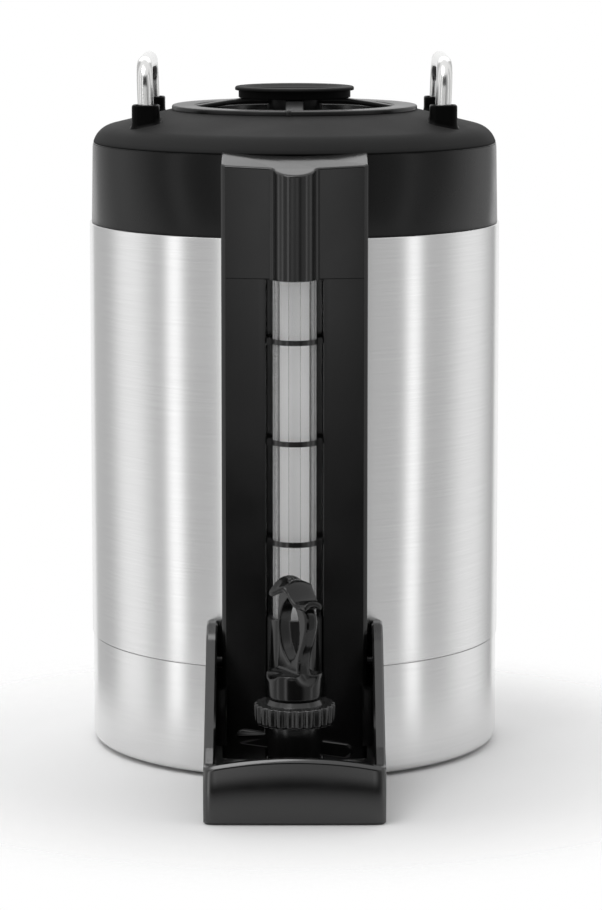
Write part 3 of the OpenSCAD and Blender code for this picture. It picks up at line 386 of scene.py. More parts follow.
# %% [markdown]
# ## Steel
# The jacket is satin steel. Its fine grain runs round it and spreads a light up and down, not
# sideways, so the shader is anisotropic along a UV map that runs round the axis. The loops are bent
# from bright wire, and the liner is a duller drawn steel.

# %% Steel
def brushed_steel():
    """Satin steel whose grain runs round the vessel, so that a light stays narrow across it."""
    f = Finish("brushed steel")
    strokes = f.grain(1.0, 4, f.stretched(30, 30, 3200), 0.6)
    threads = f.grain(1.0, 2, f.stretched(7, 7, 900), 0.5)
    clouds = f.grain(9, 3)
    tangent = f.add("ShaderNodeTangent", direction_type="UV_MAP", uv_map="round")
    f.set(Base_Color=f.tones(strokes, (0.70, 0.70, 0.70), (0.76, 0.76, 0.76)), Metallic=1.0,
          Roughness=f.spread(clouds, 0.21, 0.25), Anisotropic=0.7, Anisotropic_Rotation=0.25,
          Tangent=tangent.outputs["Tangent"])
    f.relief((threads, 0.04, 0.01), (strokes, 0.06, 0.005))
    return f.material


def bright_steel():
    """Drawn and polished wire."""
    f = Finish("bright steel")
    haze = f.grain(60, 4)
    f.set(Base_Color=f.tones(haze, (0.7, 0.7, 0.695), (0.78, 0.78, 0.77)), Metallic=1.0,
          Roughness=f.spread(haze, 0.18, 0.27))
    f.relief((f.grain(420, 2), 0.05, 0.01))
    return f.material


def liner_steel():
    """Duller steel of the liner, screws and pipes."""
    f = Finish("drawn steel")
    lines = f.grain(1.0, 3, f.stretched(60, 60, 1800))
    f.set(Base_Color=f.tones(f.grain(14, 4), (0.46, 0.46, 0.45), (0.60, 0.60, 0.59)), Metallic=1.0,
          Roughness=f.spread(lines, 0.28, 0.42))
    f.relief((lines, 0.1, 0.02))
    return f.material


print("steels: jacket, loops, liner")

# %% [markdown]
# ## Plastics and rubber
# The cap, tower and guard are moulded. The mould leaves a fine leather grain on the cap, and a
# smoother face on the guard and the handle. What faces up is painted a little paler: painted light from
# above.

# %% Plastics and rubber
def moulded(name, dark, light, roughness, grain_scale, depth, gloss=0.5, painted_top_light=0.0):
    """A moulded plastic with a leather grain, and painted top light: what faces up is painted a paler tone.
    """
    f = Finish(name)
    clouds = f.grain(22, 4)
    colour = f.tones(clouds, dark, light)
    # Painted light from above: faces that turn up are painted a paler tone.
    if painted_top_light:
        colour = f.blended(f.upward(-0.05, 0.45), colour, (painted_top_light, painted_top_light, painted_top_light, 1))
    f.set(Base_Color=colour, Roughness=f.spread(clouds, roughness - 0.05, roughness + 0.05),
          Specular_IOR_Level=gloss)
    f.relief((f.pits(grain_scale), 0.3, depth), (f.grain(grain_scale * 2.3, 2), 0.15, depth / 2))
    return f.material


def clear_plastic(name, tone, alpha, start, end):
    """Clear tube: almost nothing seen straight through, greyer where the wall is seen along."""
    f = Finish(name)
    haze = f.grain(35, 3)
    edge = f.add("ShaderNodeLayerWeight", {"Blend": 0.3}).outputs["Facing"]
    f.set(Base_Color=f.tones(haze, (tone,) * 3, (tone * 1.08,) * 3), Roughness=f.spread(haze, 0.04, 0.1),
          Alpha=f.spread(edge, 0.01, alpha, start, end))
    f.relief((f.grain(1.0, 2, f.stretched(700, 700, 6)), 0.03, 0.01))
    return f.material


def black(name, tone, roughness, grain_scale, depth, gloss, painted_top_light=0.0):
    """A black moulding: its tone is the darker of the two that vary over it."""
    return moulded(name, (tone,) * 3, (tone * 1.7,) * 3, roughness, grain_scale, depth, gloss, painted_top_light)


finishes = {
    "brushed_steel": brushed_steel(),
    "liner_steel": liner_steel(),
    "polished_steel": bright_steel(),
    # The last number of black() is painted top light: the paler tone painted on what faces up.
    "black_matte": black("tower plastic", 0.003, 0.17, 2000, 0.005, 0.5, 0.02),
    "cap wall": black("cap wall plastic", 0.002, 0.25, 2600, 0.012, 0.21),
    "cap top": black("cap top plastic", 0.003, 0.62, 2600, 0.03, 0.05, 0.03),
    "lid": black("lid plastic", 0.003, 0.34, 2400, 0.015, 0.22, 0.03),
    "collar": black("collar plastic", 0.0015, 0.4, 2600, 0.02, 0.05),
    "black steel": black("blackened steel", 0.004, 0.35, 2600, 0.01, 0.3),
    "black_gloss": black("black gloss plastic", 0.002, 0.16, 1500, 0.004, 0.4, 0.004),
    "guard": black("guard plastic", 0.003, 0.13, 1500, 0.003, 0.9, 0.006),
    "rubber_black": black("black rubber", 0.012, 0.65, 1800, 0.05, 0.3),
    "silicone": moulded("silicone", (0.42, 0.42, 0.40), (0.55, 0.55, 0.53), 0.5, 900, 0.03),
    "white_plastic": moulded("white plastic", (0.91, 0.91, 0.91), (0.95, 0.95, 0.95), 0.4, 1400, 0.02),
    "clear_plastic": clear_plastic("clear plastic", 0.85, 0.4, 0.15, 0.6),
    "gauge glass": clear_plastic("gauge glass", 0.12, 0.7, 0.32, 0.7),
}
slot_of = {part["node"]: part["material_slot"] for part in frame["record"]["subparts"]}
for node, obj in frame["nodes"].items():
    obj.data.materials.clear()
    obj.data.materials.append(finishes["black steel" if node == "guard_screws" else slot_of[node]])


def dress(obj, slot, body, *nodes, finish=None):
    """Gives a finished piece its finish, its body and the CAD nodes it stands for."""
    obj.data.materials.clear()
    obj.data.materials.append(finishes[finish or slot])
    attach(obj, body)
    if nodes:
        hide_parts(*nodes)
    return obj


print("finishes:", ", ".join(finishes))

# %% [markdown]
# ## Vessel and skirt
# The jacket is rolled and welded, then brushed. Its seam over the skirt shows as a dark line,
# because the edges of both sheets turn in. A profile swept round the axis gives both.

# %% Jacket and skirt
edge_r = 0.7


def jacket():
    """The jacket, with the hidden shoulder and neck by which it closes on the liner."""
    wall = 0.9
    profile = rounded([(body_r, seam_z + 0.25, edge_r), (body_r, ledge_z, 0.5), (100, ledge_z, 0),
                       (100, ledge_z + 15.5, 0), (94, ledge_z + 26.5, 0), (80, ledge_z + 33.5, 0),
                       (61.9, ledge_z + 36.5, 0), (54.9, ledge_z + 36.5, 0), (54.9, dome_z - 4.6, 0),
                       (54, dome_z - 4.6, 0), (54, ledge_z + 35.5, 0), (61, ledge_z + 35.3, 0),
                       (79.5, ledge_z + 32.2, 0), (93, ledge_z + 25.6, 0), (98.8, ledge_z + 15.5, 0),
                       (98.8, ledge_z - 1.2, 0), (body_r - wall, ledge_z - 1.2, 0),
                       (body_r - wall, seam_z + 0.25, 0.3)])
    return turned("jacket", profile, segments=360)


def skirt():
    """The skirt, with a rounded foot and the ring that stands inside the jacket."""
    wall, foot_in, ring_r, ring_in_r = 1.2, 7.9, 103.6, 102.4
    profile = rounded([(skirt_r - foot_in, skirt_low_z, 0), (skirt_r, skirt_low_z, 7.8),
                       (skirt_r, seam_z - 0.25, edge_r), (ring_r, seam_z - 0.25, 0),
                       (ring_r, seam_z + 5.7, 0.4), (ring_in_r, seam_z + 5.7, 0), (ring_in_r, seam_z - 4, 0),
                       (skirt_r - wall, seam_z - 6, 0), (skirt_r - wall, skirt_low_z + wall, 6.6),
                       (skirt_r - foot_in, skirt_low_z + wall, 0)], steps=12)
    return turned("skirt", profile, segments=360)


dress(jacket(), "brushed_steel", "server", "outer_shell")
dress(skirt(), "brushed_steel", "server", "base_shell")
print("jacket from", round(seam_z, 1), "to", round(ledge_z, 1), "mm")

# %% [markdown]
# ## Shoulder cap
# The cap is one black moulding. A thin crease runs round its shoulder, where two halves of the
# mould met. Its wall leans in a little so that it leaves the mould. Under the crease the wall is
# smoother than the top, so the piece has two materials and each face takes one by its height.

# %% Cap
shoulder_r, turn_r, turn_z = 12.1, 91.2, ledge_z + 37.7
crease_at, shoulder_end = 13, 76


def cap():
    wall, neck_r, hem_r, hem_z = 2.6, 55.2, 59.7, ledge_z + 39
    shoulder = arc(turn_r, turn_z, shoulder_r, 0, crease_at - 3, 4)
    groove = [(turn_r + (shoulder_r - d) * math.cos(math.radians(a)),
               turn_z + (shoulder_r - d) * math.sin(math.radians(a)))
              for a, d in [(crease_at - 1.6, 0.02), (crease_at - 0.8, 0.45), (crease_at + 0.8, 0.5),
                           (crease_at + 1.8, 0.12), (crease_at + 3.2, -0.02)]]
    rest = arc(turn_r, turn_z, shoulder_r, crease_at + 6, shoulder_end, 16)
    inside = arc(turn_r, turn_z, shoulder_r - wall, shoulder_end, 0, 12)
    profile = [(cap_r - 0.35, ledge_z + 0.02), (cap_r - 0.03, ledge_z + 0.35)] + shoulder + groove + rest
    profile += [(rim_r + 0.4, dome_z - 0.08), (rim_r - 0.2, dome_z), (neck_r, dome_z), (neck_r, hem_z),
                (hem_r, hem_z), (hem_r, dome_z - wall)] + inside + [(cap_r - wall, ledge_z)]
    return turned("cap", profile, segments=300, crease=50)


cap_piece = dress(cap(), "black_matte", "server", "shoulder_cap", finish="cap top")
cap_piece.data.materials.append(finishes["cap wall"])
crease_z = turn_z + shoulder_r * math.sin(math.radians(crease_at))
for face in cap_piece.data.polygons:
    face.material_index = int(face.center.z < crease_z * MM)
print("crease at", round(crease_z, 1), "mm")

# %% [markdown]
# ## Lid
# Coffee runs in from a brewer between the four spokes, into the basin and down its drain. The rim
# turns a little to lock. The knob has a hollow for a finger tip with a low ridge across it.

# %% Lid
def lid_rim():
    hole_r = rim_r - 11.8
    top_z = dome_z + 2.4
    profile = rounded([(hole_r, dome_z, 0), (rim_r, dome_z, 0.3), (rim_r, top_z, 0.9), (hole_r, top_z, 0.9)])
    return turned("lid_rim", profile, segments=220)


def lid_hub():
    bore_r, hub_r, low_z, top_z = 2.56, 14, dome_z - 4.6, dome_z + 6.3
    profile = rounded([(bore_r, low_z, 0), (hub_r, low_z, 0.6), (hub_r, top_z, 0.4), (bore_r, top_z, 0)])
    return turned("lid_hub", profile, segments=96)


def spoke():
    """One spoke towards +X: level at the hub, then falling to the rim on a soft bend."""
    half, thick, hub_z, rim_z = 4.5, 2.5, dome_z + 5.8, dome_z + 1.7
    start, length, bend_at, steps = 12, 39.5, 24, 12
    section = rounded([(-half, 0, 0.7), (half, 0, 0.7), (half, -thick, 0.5), (-half, -thick, 0.5)], 3)
    rings = []
    for k in range(steps + 1):
        q = start + length * k / steps
        t = min(1.0, max(0.0, (q - bend_at) / (start + length - bend_at)))
        z = hub_z + (rim_z - hub_z) * t ** 1.3
        rings.append([(q, y, z + dz) for y, dz in section])
    return stacked("spoke", rings)


def basin():
    """The bowl under the spokes, its drain, and outside a groove for the gasket."""
    bowl_r, plug_r, bead_r, lip_r, drain_r = 48.6, 50.6, 51.8, 54.2, 8
    profile = rounded([(plug_r, 320, 0), (plug_r, 324.4, 0.3), (lip_r, 324.4, 0.3), (lip_r, dome_z, 0.4),
                       (bowl_r, dome_z, 0.5), (bowl_r, 312, 3), (46.6, 309.2, 3), (46.6, 307, 4),
                       (drain_r, 302, 2), (drain_r, 292, 0.4), (drain_r + 2, 292, 0.4),
                       (drain_r + 2, 300, 3), (bowl_r, 305, 4), (bowl_r, 308, 1), (bead_r, 311.9, 0.3),
                       (plug_r, 311.9, 0), (plug_r, 316.1, 0), (bead_r, 316.1, 0.2), (bead_r, 317.3, 0.3),
                       (plug_r, 317.3, 0)])
    return turned("basin", profile, segments=200)


def knob():
    """The knob's disc, with the finger hollow pressed into its top as an oval."""
    hub_r, skirt_in_r, skirt_out_r = 14, 27.1, 28.6
    foot_z, under_z, skirt_z, disc_z = (knob_top_z - drop for drop in (5.4, 3.5, 5.7, 1.9))
    hollow_x, hollow_y, depth, ridge = 25, 21, 1.7, 2.4
    points, faces, segments = [], [], 180
    side = rounded([(hub_r, under_z, 0), (skirt_in_r, under_z, 0.4), (skirt_in_r, skirt_z, 0.4),
                    (skirt_out_r, skirt_z, 0.4), (skirt_out_r, disc_z, 0.3), (knob_r, disc_z, 0.3),
                    (knob_r, knob_top_z, 0.9), (0, knob_top_z, 0)], 4)[:-1]
    top = [(knob_r * (1 - k / 40), knob_top_z) for k in range(2, 40)]
    profile = [(hub_r, foot_z)] + side + top
    for s in range(segments):
        a = math.tau * s / segments
        for r, z in profile:
            x, y = r * math.cos(a), r * math.sin(a)
            if z == knob_top_z:
                reach = math.hypot(x / hollow_x, y / hollow_y)
                dip = depth * max(0.0, 1 - reach ** 5) if reach < 1 else 0.0
                crest = math.exp(-(y / ridge) ** 4)
                z -= dip * (1 - 0.75 * crest)
            points.append((x, y, z))
    count, tip, foot = len(profile), len(points), len(points) + 1
    points += [(0, 0, knob_top_z - depth * 0.25), (0, 0, foot_z)]
    for s in range(segments):
        here, there = s * count, (s + 1) % segments * count
        faces += [(here + i, there + i, there + i + 1, here + i + 1) for i in range(count - 1)]
        faces += [(here + count - 1, there + count - 1, tip), (there, here, foot)]
    return from_points("knob", points, faces, 40)


def button(name, x, y, z, r):
    """A small domed mark that shows how far the lid is turned."""
    return turned(name, [(0, z - 1), (r, z - 1)] + arc(0, z, r, 0, 90, 8), x, y, 32)


print("lid rim radius", round(rim_r, 1))

# %% [markdown]
# ### The four spokes
# Equal pieces on a circle are one piece and a rule. A Geometry Nodes tree turns copies of it about
# the axis, and the result becomes plain mesh.

# %% Copies on a circle
def tree_with(name, *inputs):
    """A geometry tree with named inputs of (name, kind, value), and the sockets that give them."""
    tree = bpy.data.node_groups.new(name, "GeometryNodeTree")
    for label, kind, value in (("Geometry", "Geometry", None), *inputs, ("Material", "Material", None)):
        socket = tree.interface.new_socket(label, in_out="INPUT", socket_type="NodeSocket" + kind)
        if value is not None:
            socket.default_value = value
    tree.interface.new_socket("Geometry", in_out="OUTPUT", socket_type="NodeSocketGeometry")
    return tree, tree.nodes.new("NodeGroupInput").outputs


def maths(tree, operation, a, b=None):
    """A math node; a and b are sockets or numbers."""
    return add_node(tree, "ShaderNodeMath", {0: a, 1: b}, operation=operation).outputs[0]


def finish_tree(tree, given, geometry):
    """Ends a tree in Realize Instances and Set Material."""
    real = add_node(tree, "GeometryNodeRealizeInstances", {0: geometry})
    paint = add_node(tree, "GeometryNodeSetMaterial", {0: real.outputs[0], "Material": given["Material"]})
    add_node(tree, "NodeGroupOutput", {0: paint.outputs[0]})
    return tree


def circle_tree():
    """Copies of the geometry, turned about the upright axis through the origin."""
    tree, given = tree_with("copies on a circle", ("Count", "Int", 4))
    points = add_node(tree, "GeometryNodePoints", {"Count": given["Count"]})
    number = add_node(tree, "GeometryNodeInputIndex").outputs[0]
    step = maths(tree, "DIVIDE", math.tau, given["Count"])
    turn = add_node(tree, "ShaderNodeCombineXYZ", {"Z": maths(tree, "MULTIPLY", number, step)})
    copies = add_node(tree, "GeometryNodeInstanceOnPoints", {
        "Points": points.outputs[0], "Instance": given["Geometry"], "Rotation": turn.outputs[0]})
    return finish_tree(tree, given, copies.outputs[0])


def column_tree():
    """Copies of the geometry, one above the other."""
    tree, given = tree_with("copies in a column", ("Count", "Int", 3), ("Pitch", "Float", 0.05))
    rise = add_node(tree, "ShaderNodeCombineXYZ", {"Z": given["Pitch"]})
    line = add_node(tree, "GeometryNodeMeshLine", {"Count": given["Count"], "Offset": rise.outputs[0]})
    copies = add_node(tree, "GeometryNodeInstanceOnPoints", {
        "Points": line.outputs[0], "Instance": given["Geometry"]})
    return finish_tree(tree, given, copies.outputs[0])


def grown(obj, tree, slot, **values):
    """Runs a geometry tree on an object and keeps the result as plain mesh."""
    growth = obj.modifiers.new("growth", "NODES")
    growth.node_group = tree
    named = {item.name: item.identifier for item in tree.interface.items_tree if item.in_out == "INPUT"}
    for name, value in {**values, "Material": finishes[slot]}.items():
        growth[named[name.replace("_", " ")]] = value
    return plain(obj)


spoke_count = 4
spokes = creased(grown(spoke(), circle_tree(), "black_matte", Count=spoke_count))
rim_mark = button("rim_mark", -2.8, 1 - rim_r, dome_z + 1.4, 1.7)
lid_frame = joined("lid_frame", [lid_rim(), lid_hub(), spokes, rim_mark])
finish_mesh(lid_frame)
dress(lid_frame, "black_matte", "lid", "lid_ring", finish="lid")
dress(basin(), "black_matte", "lid", "lid_basin")
dress(knob(), "black_matte", "lid", "lid_knob", finish="cap top")
print("spokes:", spoke_count)

# %% [markdown]
# ## Carry loops
# Each loop is one bent wire. Its path is two legs, two bends and a top, and a circle is swept
# along it. The loops lean outwards by two degrees, as the photo shows.

# %% Wire along a path
loop_x, loop_y, bend_r, wire_r, lean = 74.5, 40, 12, 4, 2
loop_h = loop_top_z - collar_top_z


def wire_tree():
    """A circle swept along the path."""
    tree, given = tree_with("wire along a path", ("Radius", "Float", 0.004), ("Sides", "Int", 40))
    circle = add_node(tree, "GeometryNodeCurvePrimitiveCircle", {
        "Radius": given["Radius"], "Resolution": given["Sides"]})
    sweep = add_node(tree, "GeometryNodeCurveToMesh", {
        "Curve": given["Geometry"], "Profile Curve": circle.outputs[0], "Fill Caps": True})
    smooth = add_node(tree, "GeometryNodeSetShadeSmooth", {0: sweep.outputs[0]})
    return finish_tree(tree, given, smooth.outputs[0])


def path(name, points):
    """A poly curve through points in millimetres."""
    curve = bpy.data.curves.new(name, "CURVE")
    curve.dimensions = "3D"
    line = curve.splines.new("POLY")
    line.points.add(len(points) - 1)
    for spot, point in zip(line.points, points):
        spot.co = (*[c * MM for c in point], 1)
    return add_object(name, curve)


def carry_loop(name, side):
    """One loop, drawn flat as (y, height over the collars) and then leant outwards."""
    top, leg_end = loop_h - wire_r, -24.0
    bend_y, bend_h = loop_y - bend_r, top - bend_r
    flat = [(-loop_y, leg_end), (-loop_y, 0.0), (-loop_y, bend_h * 0.5)]
    flat += arc(-bend_y, bend_h, bend_r, 180, 90, 20)
    flat += [(-bend_y * k / 3, top) for k in (2, 1, 0, -1, -2)]
    flat += arc(bend_y, bend_h, bend_r, 90, 0, 20)
    flat += [(loop_y, bend_h * 0.5), (loop_y, 0.0), (loop_y, leg_end)]
    tilt = math.radians(lean)
    points = [(side * (loop_x + h * math.sin(tilt)), y, collar_top_z + h * math.cos(tilt)) for y, h in flat]
    return grown(path(name, points), wire, "polished_steel", Radius=wire_r * MM, Sides=48)


wire = wire_tree()
for name, side, node in (("loop_left", -1, "handle_left"), ("loop_right", 1, "handle_right")):
    dress(carry_loop(name, side), "polished_steel", "server", node)
print("wire", 2 * wire_r, "mm, loops", 2 * loop_x, "mm apart")

# %% [markdown]
# ## Collars of the loops
# Each leg stands in a soft square collar. Its foot flares onto the dome, and a raised lip runs
# round its top. Rings of a rounded square, each with its own size and height, give the shape.

# %% Collars
def dome_at(x, y):
    """Height of the cap's dome."""
    r = math.hypot(x, y)
    end_r = turn_r + shoulder_r * math.cos(math.radians(shoulder_end))
    end_z = turn_z + shoulder_r * math.sin(math.radians(shoulder_end))
    if r > end_r:
        return turn_z + math.sqrt(max(0.0, shoulder_r ** 2 - (r - turn_r) ** 2))
    return dome_z - (r - rim_r) * (dome_z - end_z) / (end_r - rim_r)


def collar(x0, y0):
    """A collar from rings of (growth, rise, whether the rise starts on the dome)."""
    half, corner = 6.85, 3.4
    shape = [(1.5, -0.4, True), (0.9, 0.2, True), (0.4, 0.9, True), (0.1, 1.9, True), (0.0, 3.2, True),
             (0.0, -1.0, False), (-0.15, -0.3, False), (-0.6, 0.0, False), (-1.2, -0.15, False),
             (-1.6, -0.7, False), (-2.0, -0.85, False), (-2.6, -0.85, False)]
    rings = []
    for grow, rise, from_dome in shape:
        h, r = half + grow, corner + grow
        outline = rounded([(-h, -h, r), (h, -h, r), (h, h, r), (-h, h, r)], 8)
        ring = []
        for x, y in outline:
            base = dome_at(x0 + x, y0 + y)
            z = min(base + rise, collar_top_z - 1.2) if from_dome else collar_top_z + rise
            ring.append((x0 + x, y0 + y, z))
        rings.append(ring)
    return stacked("collar", rings, 60)


collars = [collar(x, y) for x in (-loop_x, loop_x) for y in (-loop_y, loop_y)]
dress(finish_mesh(joined("collars", collars), 60), "black_matte", "server", "handle_collars", finish="collar")
print("collars:", len(collars))

# %% [markdown]
# ## Tower
# The tower hides the pipe that feeds the gauge. It is moulded in one piece: two flat panels that
# meet at a round bump over the tube, a top that slopes forwards, and an open channel below.
# Its outline is stacked upwards. The last rings shrink, which rounds the upper edge.

# %% Tower
corner_q, bump_r, fillet_r = 115.0, 10.0, 3.0
root_q, panel_q = 92.0, gauge_q - 0.14
slope = math.tan(math.radians(16.7))
rear_z = ledge_z + 39.8
channel_x, channel_q = shield_r + 3.0, gauge_q - shield_r - 0.4


def mirrored(right):
    """A half outline on the right, with its mirror image on the left."""
    return right + [(-x, y) for x, y in reversed(right)]


def tower_corner(inset):
    """From the rear of the right wall round its bevelled corner."""
    x, corner, bevel = tower_x - inset, corner_q - inset, 1.8
    return rounded([(x, -root_q, 0), (x, bevel - corner, 0.7), (x - bevel, -corner, 0.7),
                    (channel_x, inset - panel_q, 0)], 4)


def bump_plan(inset=0.0):
    """Outline of the head, with the bump and its concave fillets."""
    r, f = bump_r - inset, fillet_r + inset
    flat_q = gauge_q - inset
    swing = math.degrees(math.asin(f / (r + f)))
    fillet_x = math.sqrt((r + f) ** 2 - f * f)
    hollow = [(fillet_x + f * math.cos(a), -flat_q - f + f * math.sin(a))
              for a in [math.radians(90 + (90 - swing) * k / 8) for k in range(9)]]
    return mirrored(tower_corner(inset)[:-1] + hollow + arc(0, -flat_q, r, -swing, -90, 22)[1:-1])


def channel_plan(inset=0.0):
    """Outline below the head, with the open channel."""
    lip = rounded([(channel_x + 4, inset - panel_q + 0.57, 0), (channel_x, inset - panel_q, 0.8),
                   (channel_x, -channel_q, 0.5), (channel_x - 4, -channel_q, 0)], 4)
    return mirrored(tower_corner(inset)[:-1] + lip)


def sloped(outline, drop):
    """A ring that follows the sloping top, lowered by drop."""
    return [(x, y, rear_z - (-y - cap_r) * slope - drop) for x, y in outline]


def level(outline, z):
    return [(x, y, z) for x, y in outline]


def prism(name, outline, z0, z1, crease=35):
    """An outline drawn straight up from z0 to z1."""
    return stacked(name, [level(outline, z0), level(outline, z1)], crease)


def tower():
    """The head over the window and the shaft below. Rings close to an edge keep its faces even."""
    soft = 0.9
    head = [level(bump_plan(0.5), window_top_z), level(bump_plan(0.12), window_top_z + 0.12),
            level(bump_plan(), window_top_z + 0.5), level(bump_plan(), window_top_z + 0.9),
            sloped(bump_plan(), 1.4)]
    head += [sloped(bump_plan(soft * (1 - math.cos(a))), soft * (1 - math.sin(a)))
             for a in [math.radians(18 * k) for k in range(6)]]
    shaft = [level(channel_plan(0.6), tower_foot_z), level(channel_plan(), tower_foot_z + 0.6),
             level(channel_plan(), tower_foot_z + 1.2), level(channel_plan(), window_top_z + 0.6)]
    return joined("tower", [stacked("head", head, 30), stacked("shaft", shaft, 30)])


dress(creased(tower(), 30), "black_matte", "server", "tower")
print("tower from", tower_foot_z, "to", round(rear_z, 1), "mm")

# %% [markdown]
# ## Sight gauge
# A thin glass tube shows the level. A clear shield guards it, and a white strip behind makes the
# coffee show. Three clips hold the shield, and a socket carries its foot and feeds the glass. The
# glass could be a tube too, but each clear wall takes light from the strip, so it is a clear rod.

# %% Gauge
clip_count, clip_pitch = 3, 49.15


def tube(name, r, wall, z0, z1, soft, segments):
    """A tube on the gauge's axis, with soft rims."""
    profile = rounded([(r, z0, soft), (r, z1, soft), (r - wall, z1, soft), (r - wall, z0, soft)], 3)
    return turned(name, profile, 0, -gauge_q, segments)


def backing():
    """The white strip behind the tube."""
    x, back = 7.25, gauge_q - 3.8
    outline = rounded([(-x, -back, 0.3), (x, -back, 0.3), (x, -back + 1.2, 0.3), (-x, -back + 1.2, 0.3)], 3)
    return prism("backing", outline, window_low_z - 3.9, window_top_z)


def clip():
    """The lowest clip: an open ring round the shield with a lug on each side."""
    z, half, deep, r0, r1 = window_low_z + 37.1, 1.25, 2.5, shield_r + 0.1, shield_r + 1.0
    start = math.degrees(math.acos(8 / r1))
    end = -180 - start
    outline = arc(0, -gauge_q, r1, start, end, 40) + arc(0, -gauge_q, r0, end, start, 40)
    ring = prism("clip_ring", outline, z - half, z + half, 40)
    lugs = []
    for side in (-1, 1):
        x0, x1 = sorted((side * (shield_r + 0.5), side * (channel_x - 0.1)))
        box = [(x0, -gauge_q - deep), (x1, -gauge_q - deep), (x1, -gauge_q + deep), (x0, -gauge_q + deep)]
        lugs.append(prism("lug", box, z - half, z + half, 30))
    return joined("clips", [ring] + lugs)


def socket():
    """Half-round block that fills the foot of the channel, open at its top for the shield."""
    r, back = channel_x - 0.3, channel_q + 0.1
    outline = [(r, -back)] + arc(0, -gauge_q, r, 0, -180, 48) + [(-r, -back)]
    brim = [(x * 0.975, y + (0.35 if y < -gauge_q else 0)) for x, y in outline]
    hole = arc(0, -gauge_q, shield_r + 0.1, 0, -360, 64)[:-1]
    block = stacked("socket", [level(outline, tower_foot_z), level(outline, window_low_z - 0.5),
                               level(brim, window_low_z)], 40)
    return carve(block, prism("drill", hole, window_low_z - 4, window_low_z + 5))


glass_r, glass_low_z, glass_top_z = 3, low("gauge_glass")[2], high("gauge_glass")[2]
shield = tube("shield", shield_r, 1.3, window_low_z - 4, window_top_z, 0.2, 96)
dress(shield, "clear_plastic", "server", "sight_shield")
glass = turned("sight_glass", [(0, glass_low_z), (glass_r, glass_low_z), (glass_r, glass_top_z),
                               (0, glass_top_z)], 0, -gauge_q, 64)
dress(glass, "clear_plastic", "server", "gauge_glass", finish="gauge glass")
dress(backing(), "white_plastic", "server", "gauge_backing")
clips = grown(clip(), column_tree(), "black_matte", Count=clip_count, Pitch=clip_pitch * MM)
dress(creased(clips), "black_matte", "server", "tube_clips")
dress(socket(), "black_matte", "server", "gauge_socket")
print("window from", round(window_low_z, 1), "to", round(window_top_z, 1), "mm, clips:", clip_count)

# %% [markdown]
# ## Tap body and wing nut
# The tap is moulded round a steel shank. A wing nut draws it against the tower. The barrel widens
# upwards to the bonnet, and the spout points straight down.

# %% Tap body and wing nut
barrel_top_z = bonnet_low_z - 0.2


def tap_barrel():
    """The upright part: spout below, seat inside, collar for the bonnet on top."""
    spout_z, bore_r, spout_r, collar_r, chamber_r = shank_z - 21, 6, 8, 14.4, 9.5
    profile = rounded([(bore_r, spout_z, 0.3), (spout_r, spout_z, 0.5), (spout_r, spout_z + 9, 1.5),
                       (11.4, spout_z + 13, 2), (15, barrel_top_z, 0.6), (collar_r, barrel_top_z, 0),
                       (collar_r, barrel_top_z + 7.3, 0.4), (chamber_r, barrel_top_z + 7.3, 0.4),
                       (chamber_r, shank_z - 7, 0), (bore_r, shank_z - 7, 0.5)])
    return turned("tap_barrel", profile, 0, -tap_q, 128)


def lying(name, profile, q0, segments=96):
    """A profile of (radius, distance forwards from q0) swept round the shank's axis."""
    obj = turned(name, profile, 0, 0, segments)
    for point in obj.data.vertices:
        x, y, z = point.co
        point.co = (x, -(q0 * MM + z), shank_z * MM + y)
    return finish_mesh(obj)


def tap_neck():
    """The part that lies round the shank."""
    start = gauge_q + channel_x + 6.8
    length = tap_q - 8 - start
    profile = rounded([(10.1, 0, 0), (12.2, 0, 0.6), (12.2, length, 0.4), (10.1, length, 0)])
    return lying("tap_neck", profile, start)


def wing_nut():
    """A hub with two wings, turned a little on the shank."""
    q0, deep, reach, tilt = gauge_q + channel_x, 6.5, 28.5, math.radians(8)
    hub = lying("nut_hub", rounded([(10.1, 0, 0), (13, 0, 0.8), (13, deep, 0.8), (10.1, deep, 0)]), q0)
    wings = []
    for side in (-1, 1):
        outline = rounded([(9, -3.5, 0), (reach, -3.5, 3.4), (reach, 3.5, 3.4), (9, 3.5, 0)], 10)
        rings = []
        for q, shrink in ((1.25, 0.5), (1.75, 0), (4.75, 0), (5.25, 0.5)):
            ring = []
            for x, z in outline:
                x -= shrink if x > reach / 2 else 0
                z -= math.copysign(shrink, z)
                px = side * x * math.cos(tilt) + z * math.sin(tilt)
                pz = z * math.cos(tilt) - side * x * math.sin(tilt)
                ring.append((px, -(q0 + q), shank_z + pz))
            rings.append(ring)
        wings.append(stacked("wing", rings, 40))
    return joined("wing_nut", [hub] + wings)


dress(joined("tap_body", [tap_barrel(), tap_neck()]), "black_matte", "server", "tap_body")
dress(wing_nut(), "black_matte", "server", "wing_nut")
print("tap body up to", round(barrel_top_z, 1), "mm")

# %% [markdown]
# ## Bonnet
# Fingers turn the bonnet by its flutes. They follow a rule, so a Geometry Nodes tree presses them
# into a plain ring: each point moves inwards by a wave of its angle, deepest in the hollows.

